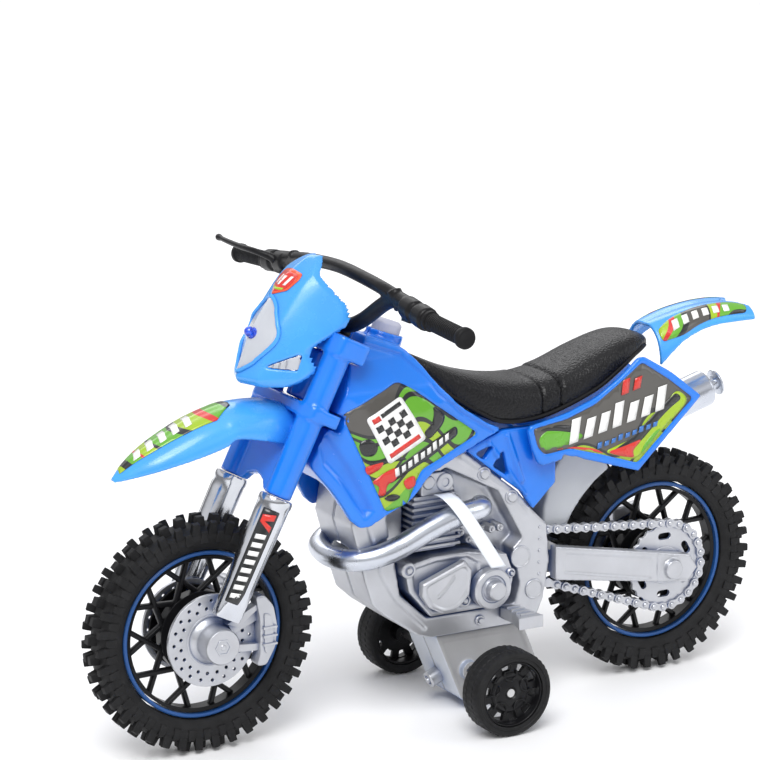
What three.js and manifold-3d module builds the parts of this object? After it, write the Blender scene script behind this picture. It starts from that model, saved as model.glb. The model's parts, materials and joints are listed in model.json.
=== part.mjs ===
// A push-along toy motocross motorcycle: plastic shells over a friction motor, with a steering fork,
// two spoked wheels, two ribbed drive wheels under the engine, and a light and sound unit.
// Millimetres, +X forward, +Y the rider's left, +Z up, origin on the ground midway between the axles.
import * as THREE from "three";
import { mergeVertices } from "three/addons/utils/BufferGeometryUtils.js";
import Module from "manifold-3d";

const wasm = await Module();
wasm.setup();

// Driving dimensions
const WHEELBASE = 185;
const WHEEL_R = 42;
const TYRE_HALF = 7;
const RIM_R = 29.9;
const RIM_WALL = 1.6;
const RIM_HALF = 3.9;
const FLANGE_R = 15;
const SPOKE_PAIRS = 10;
const SPOKE_WIDTH = 1.9;
const SPOKE_HALF = 1.3;
const SPOKE_SPREAD = THREE.MathUtils.degToRad(9.7);
const SPOKE_TWIST = THREE.MathUtils.degToRad(19);
const AXLE_R = 2;
const GAP = 0.3;
const RAKE = THREE.MathUtils.degToRad(26.5);
const STEER_X = 40;
const STEER_Z = 143;
const FORK_F = 4;
const FORK_Y = 17;
const TUBE_R = 4.8;
const LEG_R = 5.8;
const LEG_TOP = -59.8;
const LEG_BOTTOM = -104.5;
const DISC_R = 16.4;
const DISC_IN = 9.7;
const DISC_OUT = 11.1;
const HUB_CAP_Y = 20.3;
const GRIP_Y0 = 58.6;
const GRIP_Y1 = 83;
const FRAME_Y = 14;
const SPLIT = 0.15;
const WALL = 1.6;
const DRIVE_X = -8.4;
const DRIVE_R = 15.5;
const DRIVE_Y0 = 33.3;
const DRIVE_Y1 = 44.2;
const DRIVE_AXLE_R = 1.5;
const GEAR_MODULE = 0.75;
const AXLE_TEETH = 12;
const IDLER_PINION_TEETH = 11;
const IDLER_TEETH = 16;
const FLYWHEEL_TEETH = 8;
const FLYWHEEL_R = 7;
const ARBOR_R = 0.9;
const BOX_Y = 12;
const CASE_Y = 15.6;
const COVER_Y = 20;
const PIPE_R = 3.5;
const MUFFLER_R = 6.9;
const PANEL_Y = 20.4;
const BUTTON_R = 5.2;
const BUTTON_TILT = THREE.MathUtils.degToRad(20);
const STEM_R = 2.4;
const WASHER_R = 3.8;
const BOSS_R = 6.4;
const DISC_HOLES = 12;
const UPPER_CLAMP = [-7.8, -0.6];
const LOWER_CLAMP = [-31.2, -26.6];
const ARCH_STEPS = 7;
const LED_R = 1.9;
const CELLS_AT = [5.2, 71.6];
const CELL_R = 5.8;
const CLUTCH_AT = [-14.2, 46.6];
const TAB_WIDTH = 6;
const FILM = 0.5;
const SIDES = [
  [1, "left"],
  [-1, "right"],
];

const axleX = WHEELBASE / 2;
const axleZ = WHEEL_R;

const blue = { color: 0x2c8ff2, roughness: 0.32 };
const paleBlue = { color: 0x6ab4f7, roughness: 0.3 };
const silver = { color: 0xc4c5c9, roughness: 0.42, metalness: 0.35 };
const chrome = { color: 0xd6d8dc, roughness: 0.15, metalness: 0.9 };
const motorGrey = { color: 0xa9a9ab, roughness: 0.6 };
const blackGloss = { color: 0x141415, roughness: 0.4 };
const blackGrain = { color: 0x1c1c1d, roughness: 0.75 };
const rubber = { color: 0x161616, roughness: 0.85 };
const rimBlue = { color: 0x2a5aa0, roughness: 0.35 };
const steel = { color: 0xb8bac0, roughness: 0.3, metalness: 1 };
const lensWhite = { color: 0xe6e9ee, roughness: 0.15 };
const ledBlue = { color: 0x1d3fc0, roughness: 0.1 };
const fenderGrey = { color: 0xd8d8d4, roughness: 0.5 };
const capGrey = { color: 0xd4d8e6, roughness: 0.3 };
const gearNylon = { color: 0xe8e4d6, roughness: 0.5 };
const boardGreen = { color: 0x2d6b3c, roughness: 0.5 };
const filmWhite = { color: 0xf2f2f4, roughness: 0.35 };

// ---- solids -------------------------------------------------------------------------------------

function solid(geometry) {
  const g = geometry.clone();
  g.deleteAttribute("normal");
  g.deleteAttribute("uv");
  const merged = mergeVertices(g, 1e-4);
  const mesh = new wasm.Mesh({
    numProp: 3,
    vertProperties: new Float32Array(merged.attributes.position.array),
    triVerts: new Uint32Array(merged.index.array),
  });
  const made = new wasm.Manifold(mesh);
  if (made.volume() > 0) return made;
  for (let i = 0; i < mesh.triVerts.length; i += 3) {
    const held = mesh.triVerts[i + 1];
    mesh.triVerts[i + 1] = mesh.triVerts[i + 2];
    mesh.triVerts[i + 2] = held;
  }
  return new wasm.Manifold(mesh);
}

function geometryOf(body) {
  const mesh = body.getMesh();
  const g = new THREE.BufferGeometry();
  g.setAttribute("position", new THREE.BufferAttribute(new Float32Array(mesh.vertProperties), 3));
  g.setIndex(new THREE.BufferAttribute(new Uint32Array(mesh.triVerts), 1));
  g.computeVertexNormals();
  return g;
}

const join = (...bodies) => bodies.reduce((a, b) => a.add(b));
const cut = (body, ...tools) => tools.reduce((a, b) => a.subtract(b), body);
const common = (...bodies) => bodies.reduce((a, b) => a.intersect(b));

// A side outline of [x, z] points, with its corners eased by a radius.
function outline(points, ease = 0) {
  const shape = new THREE.Shape();
  const at = points.map(([x, z]) => new THREE.Vector2(x, z));
  if (ease === 0) return shape.setFromPoints(at);
  at.forEach((p, i) => {
    const before = at[(i + at.length - 1) % at.length];
    const after = at[(i + 1) % at.length];
    const reach = Math.min(ease, p.distanceTo(before) / 2.2, p.distanceTo(after) / 2.2);
    const entry = p.clone().lerp(before, reach / p.distanceTo(before));
    const exit = p.clone().lerp(after, reach / p.distanceTo(after));
    if (i === 0) shape.moveTo(entry.x, entry.y);
    else shape.lineTo(entry.x, entry.y);
    shape.quadraticCurveTo(p.x, p.y, exit.x, exit.y);
  });
  shape.closePath();
  return shape;
}

// Extrudes a side outline across the bike, from y0 to y1.
function plate(points, y0, y1, { ease = 0, bevel = 0, steps = 3 } = {}) {
  const shape = points instanceof THREE.Shape ? points : outline(points, ease);
  const g = new THREE.ExtrudeGeometry(shape, {
    depth: y1 - y0 - 2 * bevel,
    bevelEnabled: bevel > 0,
    bevelThickness: bevel,
    bevelSize: bevel,
    bevelOffset: -bevel,
    bevelSegments: 1,
    curveSegments: steps,
  });
  g.rotateX(Math.PI / 2);
  g.translate(0, y1 - bevel, 0);
  return solid(g);
}

// Extrudes a plan outline of [x, y] points upwards, from z0 to z1.
function slab(points, z0, z1, { ease = 0, steps = 3 } = {}) {
  const g = new THREE.ExtrudeGeometry(outline(points, ease), {
    depth: z1 - z0,
    bevelEnabled: false,
    curveSegments: steps,
  });
  g.translate(0, 0, z0);
  return solid(g);
}

function box(x0, x1, y0, y1, z0, z1) {
  const g = new THREE.BoxGeometry(x1 - x0, y1 - y0, z1 - z0);
  g.translate((x0 + x1) / 2, (y0 + y1) / 2, (z0 + z1) / 2);
  return solid(g);
}

// A cylinder across the bike.
function roller(x, z, r, y0, y1, sides = 24, r1 = r) {
  const g = new THREE.CylinderGeometry(r1, r, y1 - y0, sides);
  g.translate(x, (y0 + y1) / 2, z);
  return solid(g);
}

// A lathed ring or disc about a line across the bike, from its [r, y] profile.
function turned(profile, x, z, sides = 48) {
  const g = new THREE.LatheGeometry(
    profile.map(([r, y]) => new THREE.Vector2(r, y)),
    sides,
  );
  g.translate(x, 0, z);
  return solid(g);
}

function tube(points, r, sides = 10, steps = 20, section = null) {
  const path = new THREE.CatmullRomCurve3(points.map((p) => new THREE.Vector3(...p)));
  const shape = section ?? new THREE.Shape();
  if (!section) {
    for (let i = 0; i < sides; i++) {
      const a = (2 * Math.PI * i) / sides;
      if (i === 0) shape.moveTo(r, 0);
      else shape.lineTo(r * Math.cos(a), r * Math.sin(a));
    }
    shape.closePath();
  }
  return solid(new THREE.ExtrudeGeometry(shape, { steps, extrudePath: path, bevelEnabled: false }));
}

// A rod between two points.
function rod(a, b, r, sides = 12, r1 = r) {
  const from = new THREE.Vector3(...a);
  const along = new THREE.Vector3(...b).sub(from);
  const g = new THREE.CylinderGeometry(r1, r, along.length(), sides);
  g.translate(0, along.length() / 2, 0);
  const up = new THREE.Vector3(0, 1, 0);
  g.applyQuaternion(new THREE.Quaternion().setFromUnitVectors(up, along.clone().normalize()));
  g.translate(from.x, from.y, from.z);
  return solid(g);
}

const mirrored = (points) => points.map(([x, y]) => [x, -y]);

// The same body on the other side of the bike.
function flipped(body) {
  const g = geometryOf(body);
  g.scale(1, -1, 1);
  return solid(g);
}

// Turns a body built in the fork's own axes, forward, across and up the steering line, into the bike's.
function raked(body) {
  const m = new THREE.Matrix4().makeRotationY(-RAKE);
  m.setPosition(STEER_X, 0, STEER_Z);
  const g = geometryOf(body);
  g.applyMatrix4(m);
  return solid(g);
}

// ---- the scene graph ----------------------------------------------------------------------------

const motorcycle = new THREE.Group();

function place(parent, name, body, look) {
  const mesh = new THREE.Mesh(geometryOf(body), new THREE.MeshStandardMaterial(look));
  mesh.name = name;
  parent.add(mesh);
  return mesh;
}

function group(parent) {
  const g = new THREE.Group();
  parent.add(g);
  return g;
}

// ---- wheels -------------------------------------------------------------------------------------

function tyreBody() {
  const bead = RIM_R + GAP;
  const crown = TYRE_HALF - 3;
  const half = [
    [bead, 4.2],
    [34, TYRE_HALF - 0.2],
    [39.4, TYRE_HALF - 0.4],
    [WHEEL_R, crown],
  ];
  const profile = [...half, ...mirrored(half).reverse(), half[0]];
  return turned(profile, 0, 0, 32);
}

function rimBody() {
  const inner = RIM_R - RIM_WALL;
  return turned(hoop(inner, RIM_R, RIM_HALF), 0, 0, 30);
}

// The profile of a plain hoop.
function hoop(inner, outer, half) {
  return [
    [inner, -half],
    [outer, -half],
    [outer, half],
    [inner, half],
    [inner, -half],
  ];
}

// A flat bar between two polar points of the wheel.
function spoke(r0, a0, r1, a1) {
  const p = new THREE.Vector2(r0 * Math.cos(a0), r0 * Math.sin(a0));
  const q = new THREE.Vector2(r1 * Math.cos(a1), r1 * Math.sin(a1));
  const side = q.clone().sub(p).rotateAround(new THREE.Vector2(), Math.PI / 2);
  side.setLength(SPOKE_WIDTH / 2);
  const corners = [p.clone().add(side), p.clone().sub(side), q.clone().sub(side), q.clone().add(side)];
  return plate(corners.map((c) => [c.x, c.y]), -SPOKE_HALF, SPOKE_HALF);
}

function spokedBody() {
  const bandOut = RIM_R - RIM_WALL - GAP;
  const bandIn = bandOut - 1.4;
  const band = turned(hoop(bandIn, bandOut, 3.2), 0, 0, 24);
  const half = [
    [FLANGE_R, 2.2],
    [8.5, 3],
    [8.5, 6.4],
    [FLANGE_R, 7.4],
    [FLANGE_R, 8.8],
    [0, 9.2],
  ];
  const hub = turned([...mirrored(half).reverse(), ...half], 0, 0, 16);
  let wheel = join(band, hub);
  for (let i = 0; i < SPOKE_PAIRS; i++) {
    const a = (2 * Math.PI * (i + 0.14)) / SPOKE_PAIRS;
    for (const way of [-1, 1]) {
      const outer = a + way * SPOKE_SPREAD;
      const inner = a - way * SPOKE_TWIST;
      wheel = wheel.add(spoke(bandIn + 0.6, outer, FLANGE_R - 1, inner));
    }
  }
  return cut(wheel, roller(0, 0, AXLE_R + GAP, -12, 12, 16));
}

function addWheel(parent, side, x) {
  const wheel = group(parent);
  wheel.position.set(x, 0, axleZ);
  place(wheel, side + "_tyre", tyreBody(), rubber);
  place(wheel, side + "_rim", rimBody(), rimBlue);
  place(wheel, side + "_spoked_wheel", spokedBody(), blackGloss);
}

// ---- front fork, in its own axes: x forward of the steering line, z up along it -------------------

function forkUpperBody() {
  const clamp = [
    [-4.8, 22.4],
    [7, 22.4],
    [9.4, 17],
    [8.6, 8],
    [8.6, -8],
    [9.4, -17],
    [7, -22.4],
    [-4.8, -22.4],
    [-4.8, -10],
    [-6.4, -5],
    [-6.4, 5],
    [-4.8, 10],
  ];
  const upper = slab(clamp, UPPER_CLAMP[0], UPPER_CLAMP[1], { ease: 2 });
  const lower = slab(clamp, LOWER_CLAMP[0], LOWER_CLAMP[1], { ease: 2 });
  const tubes = [-1, 1].map((way) => {
    const y = way * FORK_Y;
    return rod([FORK_F, y, LEG_TOP + GAP], [FORK_F, y, UPPER_CLAMP[1]], TUBE_R, 16);
  });
  const brace = box(2.4, 5.6, -FORK_Y, FORK_Y, LEG_TOP + GAP, LOWER_CLAMP[0] + 1);
  const arch = cut(brace, rod([0, 0, -66], [10, 0, -66], 11, 12));
  const stemHole = rod([0, 0, -40], [0, 0, 2], STEM_R + GAP, 12);
  const washerSpace = rod([0, 0, -40], [0, 0, LOWER_CLAMP[0]], WASHER_R + GAP, 16);
  return cut(join(upper, lower, ...tubes, arch), stemHole, washerSpace);
}

function forkLegBody(way) {
  const y = way * FORK_Y;
  const leg = rod([FORK_F, y, LEG_BOTTOM], [FORK_F, y, LEG_TOP], LEG_R - 0.5, 16, LEG_R);
  const inner = DISC_OUT + GAP;
  const discSpace = way > 0 ? box(-40, 60, -30, inner, -140, -84) : box(-40, 60, -inner, 30, -140, -84);
  const [f, s] = forkAxes(axleX, axleZ);
  const bossSpace = rod([f, way * 8, s], [f, way * 26, s], BOSS_R + GAP, 24);
  return cut(leg, discSpace, bossSpace);
}

// The place of a point of the bike, forward of the steering line and up along it.
function forkAxes(x, z) {
  const dx = x - STEER_X;
  const dz = z - STEER_Z;
  return [dx * Math.cos(RAKE) + dz * Math.sin(RAKE), -dx * Math.sin(RAKE) + dz * Math.cos(RAKE)];
}

// Disc, caliper, its two arms and the axle boss, moulded as one, about the axle.
function brakeBody(way) {
  const disc = roller(0, 0, DISC_R, DISC_IN, DISC_OUT, 28);
  const caliper = plate(
    [
      [-14.6, 14.6],
      [-18, 14.8],
      [-21.6, 10.4],
      [-23, 3],
      [-22.2, -4.2],
      [-18.6, -10.6],
      [-14.8, -10.4],
      [-16.2, -6],
      [-16.2, 6],
    ],
    DISC_IN,
    16.4,
    { ease: 1.2, bevel: 0.6, steps: 1 },
  );
  const upperArm = plate(
    [
      [-4, 5.4],
      [-17.4, 11.6],
      [-17.4, 8.4],
      [-4, 1.4],
    ],
    DISC_OUT - 0.4,
    14,
  );
  const lowerArm = plate(
    [
      [-3, -2],
      [-17.4, -3.2],
      [-17.4, -5.8],
      [-3, -5.2],
    ],
    DISC_OUT - 0.4,
    14,
  );
  const boss = roller(0, 0, BOSS_R, DISC_IN, HUB_CAP_Y, 16);
  const bore = roller(0, 0, AXLE_R + 0.1, DISC_IN - 1, HUB_CAP_Y - 2.5, 16);
  let body = cut(join(disc, caliper, upperArm, lowerArm, boss), bore);
  for (let i = 0; i < DISC_HOLES; i++) {
    const a = (2 * Math.PI * i) / DISC_HOLES;
    const r = DISC_R - (i % 2 ? 2.6 : 4.8);
    body = body.subtract(roller(r * Math.cos(a), r * Math.sin(a), 0.7, DISC_IN - 1, DISC_OUT + 0.8, 6));
  }
  return way > 0 ? body : flipped(body);
}

const CREST = [
  [124, 0, 100.3],
  [116, 0, 106.8],
  [104, 0, 113.6],
  [92, 0, 118.8],
  [79, 0, 121.8],
  [66, 0, 121.6],
  [58, 0, 119.2],
  [50, 0, 114],
];

// A sheet that arches over a line, from a round section swept along it.
function archedSheet(line, half, drop, wall) {
  const section = (inset) => {
    const s = new THREE.Shape();
    for (let i = 0; i <= ARCH_STEPS; i++) {
      const a = (Math.PI * i) / ARCH_STEPS;
      const across = (half - inset) * Math.cos(a);
      const up = (drop - inset) * Math.sin(a) ** 0.85 - drop;
      if (i === 0) s.moveTo(across, up);
      else s.lineTo(across, up);
    }
    s.lineTo(inset - half, -drop - 2 - inset);
    s.lineTo(half - inset, -drop - 2 - inset);
    s.closePath();
    return s;
  };
  const ahead = line.map((p, i) => {
    if (i > 0 && i < line.length - 1) return p;
    const other = i === 0 ? line[1] : line[line.length - 2];
    return p.map((v, k) => v + (v - other[k]) * 0.1);
  });
  return cut(tube(line, 0, 0, 9, section(0)), tube(ahead, 0, 0, 9, section(wall)));
}

function mudguardBody() {
  const half = [
    [122.6, 1.4],
    [119, 4.6],
    [110, 9.6],
    [98, 12.4],
    [84, 13],
    [64, 12],
    [59, 11.4],
  ];
  const plan = slab([...half, ...mirrored(half).reverse()], 80, 140);
  const side = plate(
    [
      [126, 130],
      [126, 98.4],
      [109.6, 103.4],
      [88, 109.2],
      [81.7, 111.6],
      [66, 108.4],
      [59, 106],
      [59, 130],
    ],
    -20,
    20,
  );
  const sheet = common(archedSheet(CREST, 13.2, 12, 1.7), plan, side);
  const clampSpace = raked(box(-12, 10.6, -30, 30, LOWER_CLAMP[0] - GAP, 10));
  const braceSpace = raked(box(-12, 6.2, -30, 30, -80, LOWER_CLAMP[0]));
  return cut(sheet, clampSpace, braceSpace);
}

const MASK_LINE = [
  [46.6, 0, 170],
  [50.4, 0, 168.8],
  [58.4, 0, 163],
  [64.9, 0, 155],
  [70.9, 0, 145.7],
  [75.4, 0, 135],
  [77.4, 0, 129.2],
];

// The mask's section, a blunt wedge that opens backwards.
function maskSection(inset) {
  const s = new THREE.Shape();
  const across = [-19, -15, -10, -6, -3, 0, 3, 6, 10, 15, 19];
  const back = (y) => 22 * (Math.abs(y) / 18) ** 1.25 + inset * 1.25;
  across.forEach((y, i) => {
    if (i === 0) s.moveTo(y, back(y));
    else s.lineTo(y, back(y));
  });
  s.lineTo(19, 34);
  s.lineTo(-19, 34);
  s.closePath();
  return s;
}

function maskBlock(inset) {
  return tube(MASK_LINE, 0, 0, 8, maskSection(inset));
}

function maskSilhouette() {
  const side = plate(
    [
      [47.5, 171],
      [44.8, 160],
      [45.6, 149],
      [58.4, 140.6],
      [55.6, 133.6],
      [58.4, 128],
      [90, 127.8],
      [90, 171],
    ],
    -30,
    30,
  );
  const half = [
    [170, 1],
    [167.6, 6.5],
    [162, 12],
    [155, 16.6],
    [148.5, 18.4],
    [140, 15.4],
    [133.5, 16.4],
    [128, 13.4],
    [126, 5],
  ];
  const shape = outline([...half.map(([z, y]) => [z, y]), ...half.map(([z, y]) => [z, -y]).reverse()], 1);
  const g = new THREE.ExtrudeGeometry(shape, { depth: 70, bevelEnabled: false, curveSegments: 1 });
  g.rotateY(-Math.PI / 2);
  g.translate(95, 0, 0);
  return common(side, solid(g));
}

// The lens fills the front of the mask between two arcs that meet at its top and bottom.
function lensPrism(grow) {
  const half = [
    [156.5 + grow, 0],
    [152, 4.6 + grow],
    [146, 7.6 + grow],
    [140, 6.6 + grow],
    [134.5, 2.6 + grow],
    [132.6 - grow, 0],
  ];
  const shape = outline([...half, ...half.slice(1, -1).map(([z, y]) => [z, -y]).reverse()]);
  const g = new THREE.ExtrudeGeometry(shape, { depth: 40, bevelEnabled: false });
  g.rotateY(-Math.PI / 2);
  g.translate(95, 0, 0);
  return solid(g);
}

function maskBody() {
  const shell = cut(maskBlock(0), maskBlock(WALL));
  const windowed = cut(shell, lensPrism(GAP));
  return common(windowed, maskSilhouette());
}

function lensBody() {
  const skin = cut(maskBlock(0.2), maskBlock(0.2 + WALL));
  return cut(common(skin, lensPrism(0)), ledHole(LED_R + GAP));
}

const ledAim = [
  [62, 0, 141],
  [73.2, 0, 146.9],
];

function ledHole(r) {
  return rod(ledAim[0], [78, 0, 149.4], r, 12);
}

function handlebarBody() {
  const reach = [
    [34.7, 58, 156.9],
    [34.6, 46, 158.4],
    [34.6, 37, 159.4],
    [35.4, 30, 157.4],
    [37.6, 19, 150],
    [39, 12, 146.8],
    [39.4, 6, 146.6],
  ];
  const path = [...reach, [39.4, 0, 146.6], ...reach.map(([x, y, z]) => [x, -y, z]).reverse()];
  const bar = tube(path, 2.7, 8, 22);
  const cross = [
    [35, 38, 160.2],
    [36, 28, 162.4],
    [36.5, 0, 164.6],
    [36, -28, 162.4],
    [35, -38, 160.2],
  ];
  const brace = tube(cross, 2.4, 8, 6);
  const perches = [-1, 1].map((way) => rod([34.6, way * 45, 158.6], [34.8, way * 58.2, 156.8], 3.7, 14));
  const riser = raked(box(-3.4, 5.6, -8.6, 8.6, UPPER_CLAMP[1] + GAP, 4.4));
  return join(bar, brace, ...perches, riser);
}

function gripBody(way) {
  const along = (y) => [34.8 - 0.008 * (y - 58), way * y, 156.8 - 0.061 * (y - 58)];
  const sleeve = rod(along(GRIP_Y0), along(GRIP_Y1 - 2.6), 2.8, 16);
  const flange = rod(along(GRIP_Y1 - 2.7), along(GRIP_Y1), 3.6, 16);
  const collar = rod(along(GRIP_Y0), along(GRIP_Y0 + 1.8), 3.5, 16);
  return join(sleeve, flange, collar);
}

function leverBody() {
  const points = [
    [38.9, -49, 160],
    [42.6, -54, 161.6],
    [44.2, -62, 162],
    [44.4, -72, 162.2],
    [44, -81.6, 162.4],
  ];
  return tube(points, 1.15, 8, 12);
}

function addFork(parent) {
  const fork = group(parent);
  const steered = group(fork);
  steered.position.set(STEER_X, 0, STEER_Z);
  steered.rotation.y = -RAKE;
  place(steered, "fork_upper", forkUpperBody(), blue);
  for (const [way, side] of SIDES) {
    place(steered, "fork_leg_" + side, forkLegBody(way), chrome);
    const hub = group(fork);
    hub.position.set(axleX, 0, axleZ);
    place(hub, "front_brake_" + side, brakeBody(way), silver);
    place(fork, "grip_" + side, gripBody(way), blackGrain);
  }
  const reach = HUB_CAP_Y - 2.8;
  place(fork, "front_axle", roller(axleX, axleZ, AXLE_R, -reach, reach, 16), steel);
  place(fork, "front_mudguard", mudguardBody(), paleBlue);
  place(fork, "headlight_mask", maskBody(), paleBlue);
  place(fork, "headlight_lens", lensBody(), lensWhite);
  place(fork, "headlight_led", rod(...ledAim, LED_R, 12, LED_R * 0.7), ledBlue);
  place(fork, "handlebar", handlebarBody(), blackGloss);
  place(fork, "brake_lever", leverBody(), blackGloss);
}

// ---- body shells ----------------------------------------------------------------------------------

const TANK_OUTLINE = [
  [33.6, 142.8],
  [18.4, 137],
  [12.6, 131],
  [8.6, 124.2],
  [-0.6, 115],
  [-13.8, 106.4],
  [-20, 104],
  [-12, 101.6],
  [12, 92.4],
  [19.4, 84],
  [31.2, 79.2],
  [37, 75.4],
  [41.6, 77.6],
  [44.6, 83],
  [49, 90],
  [53.4, 95.6],
  [57, 100.4],
  [54.4, 110],
  [49, 121],
  [41, 131],
];

// Room that the clamps, tubes and mudguard need as the fork turns.
function steeringSpace() {
  const swept = [
    [-7.8, 10.5],
    [-9.6, 24],
    [30, 34],
    [30, -34],
    [-9.6, -24],
    [-7.8, -10.5],
  ];
  const upper = slab(swept, UPPER_CLAMP[0] - 0.6, 14);
  const lower = slab(swept, LOWER_CLAMP[0] - 0.6, LOWER_CLAMP[1] + 0.6);
  const tubes = [-1, 1].map((way) =>
    slab(
      [
        [-4.6, way * 10.6],
        [30, way * 10.6],
        [30, way * 30],
        [-4.6, way * 30],
      ],
      -70,
      0,
    ),
  );
  const between = slab(
    [
      [-1.4, -12],
      [30, -12],
      [30, 12],
      [-1.4, 12],
    ],
    -70,
    LOWER_CLAMP[0],
  );
  const washer = rod([0, 0, -40], [0, 0, LOWER_CLAMP[0]], WASHER_R + GAP, 16);
  return raked(join(upper, lower, ...tubes, between, washer));
}

// A block across the bike with a given front view, from its [y, z] half outline.
function frontView(half, x0, x1) {
  const shape = outline([...half, ...half.map(([y, z]) => [-y, z]).reverse()]);
  const g = new THREE.ExtrudeGeometry(shape, { depth: x1 - x0, bevelEnabled: false });
  g.rotateX(Math.PI / 2);
  g.rotateZ(Math.PI / 2);
  g.translate(x0, 0, 0);
  return solid(g);
}

const buttonAt = new THREE.Matrix4().makeRotationY(-BUTTON_TILT).setPosition(19.8, 0, 138);

// Turns a body built about the button's own axis into the bike's axes.
function aboutButton(body) {
  const g = geometryOf(body);
  g.applyMatrix4(buttonAt);
  return solid(g);
}

function tankWhole() {
  const side = plate(TANK_OUTLINE, -21, 21, { ease: 2, steps: 1 });
  const half = [
    [58.5, 9],
    [56, 14.6],
    [47, 18],
    [32, 20.6],
    [12, 20.4],
    [-4, 18.6],
    [-21, 16.4],
  ];
  const plan = slab([...half, ...mirrored(half).reverse()], 70, 150);
  const front = frontView(
    [
      [7, 143.4],
      [10, 141],
      [12, 134],
      [18.4, 124],
      [20.6, 114],
      [20.6, 74],
    ],
    -25,
    60,
  );
  const collar = aboutButton(rod([0, 0, -3], [0, 0, 2.4], BUTTON_R + 1.6, 20));
  const outer = cut(join(common(side, plan, front), collar), steeringSpace());
  const headTube = raked(
    join(
      rod([0, 0, LOWER_CLAMP[1] + GAP], [0, 0, UPPER_CLAMP[0] - GAP], 6.2, 20),
      box(-14, -2, -6, 6, LOWER_CLAMP[1] + GAP, UPPER_CLAMP[0] - GAP),
    ),
  );
  const headBore = raked(rod([0, 0, -40], [0, 0, 4], STEM_R + GAP, 16));
  const cavity = plate(
    [
      [29, 129],
      [19, 134.2],
      [15.4, 130],
      [11, 122],
      [1, 111.8],
      [-9, 104.4],
      [14, 95.6],
      [29, 95.6],
    ],
    -16,
    16,
  );
  const insideWalls = frontView(
    [
      [8.4, 140],
      [8.8, 133],
      [14.6, 122],
      [16, 116],
      [16, 90],
    ],
    -25,
    60,
  );
  const room = common(cavity, insideWalls);
  const inside = [
    [54, 7.6],
    [50, 12.6],
    [40, 16.4],
    [14, 17.8],
    [6, 17],
  ];
  const underside = slab([...inside, ...mirrored(inside).reverse()], 70, 93);
  const well = aboutButton(rod([0, 0, -9], [0, 0, 8], BUTTON_R + GAP, 20));
  return cut(join(outer, headTube), headBore, room, underside, well);
}

// One side of a body that is split down the middle of the bike.
function halfOf(body, way) {
  const y0 = way > 0 ? SPLIT : -60;
  return common(body, box(-160, 160, y0, y0 + 60 - SPLIT, -5, 200));
}

const PANEL_OUTLINE = [
  [-27.3, 104.2],
  [-29.4, 96],
  [-32.6, 89.2],
  [-47.1, 91.6],
  [-58, 86.6],
  [-80.2, 75.8],
  [-105.4, 104],
  [-88, 117.6],
  [-75, 125.2],
  [-66, 117.8],
  [-56, 111.6],
  [-44, 107.4],
];

function rearPanelBody() {
  const panel = plate(PANEL_OUTLINE, PANEL_Y - 2, PANEL_Y, { ease: 1.5, steps: 1 });
  const strut = plate(
    [
      [-5.6, 98.4],
      [-5.8, 97],
      [-27.8, 79.7],
      [-32.8, 72.8],
      [-50.6, 89.4],
      [-47.6, 92],
      [-32, 103.4],
      [-20.6, 103.4],
      [-12.2, 100.8],
    ],
    12.8,
    15.8,
  );
  const windows = [
    [
      [-8.6, 96.2],
      [-16.4, 98.6],
      [-12.4, 93.2],
    ],
    [
      [-15.8, 90.6],
      [-20.2, 96],
      [-22.6, 86],
    ],
  ];
  const web = plate(
    [
      [-30.4, 102],
      [-33.4, 90.6],
      [-46, 93],
      [-46, 101],
    ],
    15.2,
    PANEL_Y - 1.5,
  );
  return cut(join(panel, strut, web), ...windows.map((w) => plate(w, 12, 17)));
}

const SEAT_OUTLINE = [
  [11.4, 132.6],
  [-3, 125.8],
  [-15.3, 121.9],
  [-26, 119.8],
  [-36, 119.2],
  [-49, 121.4],
  [-61.3, 126],
  [-72, 129.4],
  [-79, 130.4],
  [-85, 129.2],
  [-87.8, 125.6],
  [-78, 123.4],
  [-70, 118.6],
  [-58, 112.4],
  [-40, 106.4],
  [-29, 104.8],
  [-20.6, 104.9],
  [-14.4, 107.4],
  [-1.4, 116],
  [7.8, 125],
];

function seatBody() {
  const side = plate(SEAT_OUTLINE, -17, 17, { bevel: 2.4 });
  const half = [
    [12, 3.6],
    [6, 8],
    [-4, 12],
    [-16, 15],
    [-30, 16.4],
    [-52, 16.4],
    [-66, 15],
    [-78, 12],
    [-85, 8],
    [-88, 4],
  ];
  return common(side, slab([...half, ...mirrored(half).reverse()], 100, 135));
}

const TAIL_LINE = [
  [-84, 0, 131.4],
  [-94, 0, 134.4],
  [-106, 0, 137],
  [-118, 0, 137.6],
  [-134, 0, 136.4],
];

function tailBody() {
  const half = [
    [-88.4, 12.4],
    [-96, 12.6],
    [-106, 11.4],
    [-118, 11.6],
    [-130.6, 12],
    [-130, 8],
    [-123, 2],
  ];
  const plan = slab([...half, ...mirrored(half).reverse()], 100, 145);
  const side = plate(
    [
      [-88.4, 140],
      [-88.4, 118],
      [-93.5, 122.6],
      [-100, 126.8],
      [-113, 130.6],
      [-130.6, 131],
      [-130.6, 140],
    ],
    -20,
    20,
  );
  return common(archedSheet(TAIL_LINE, 13, 17, WALL), plan, side);
}

function innerFenderBody() {
  const r = WHEEL_R + 3;
  const arc = [24, 33, 42, 51, 60].map((deg) => {
    const a = THREE.MathUtils.degToRad(deg);
    return [-axleX + r * Math.cos(a), axleZ + r * Math.sin(a)];
  });
  const outside = [
    [-66, 93],
    [-53, 93],
    [-45.6, 82],
    [-42.2, 70],
    [-42.2, 60.4],
  ];
  return plate([...arc, ...outside], -7.6, 7.6);
}

// ---- engine and frame -----------------------------------------------------------------------------

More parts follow.
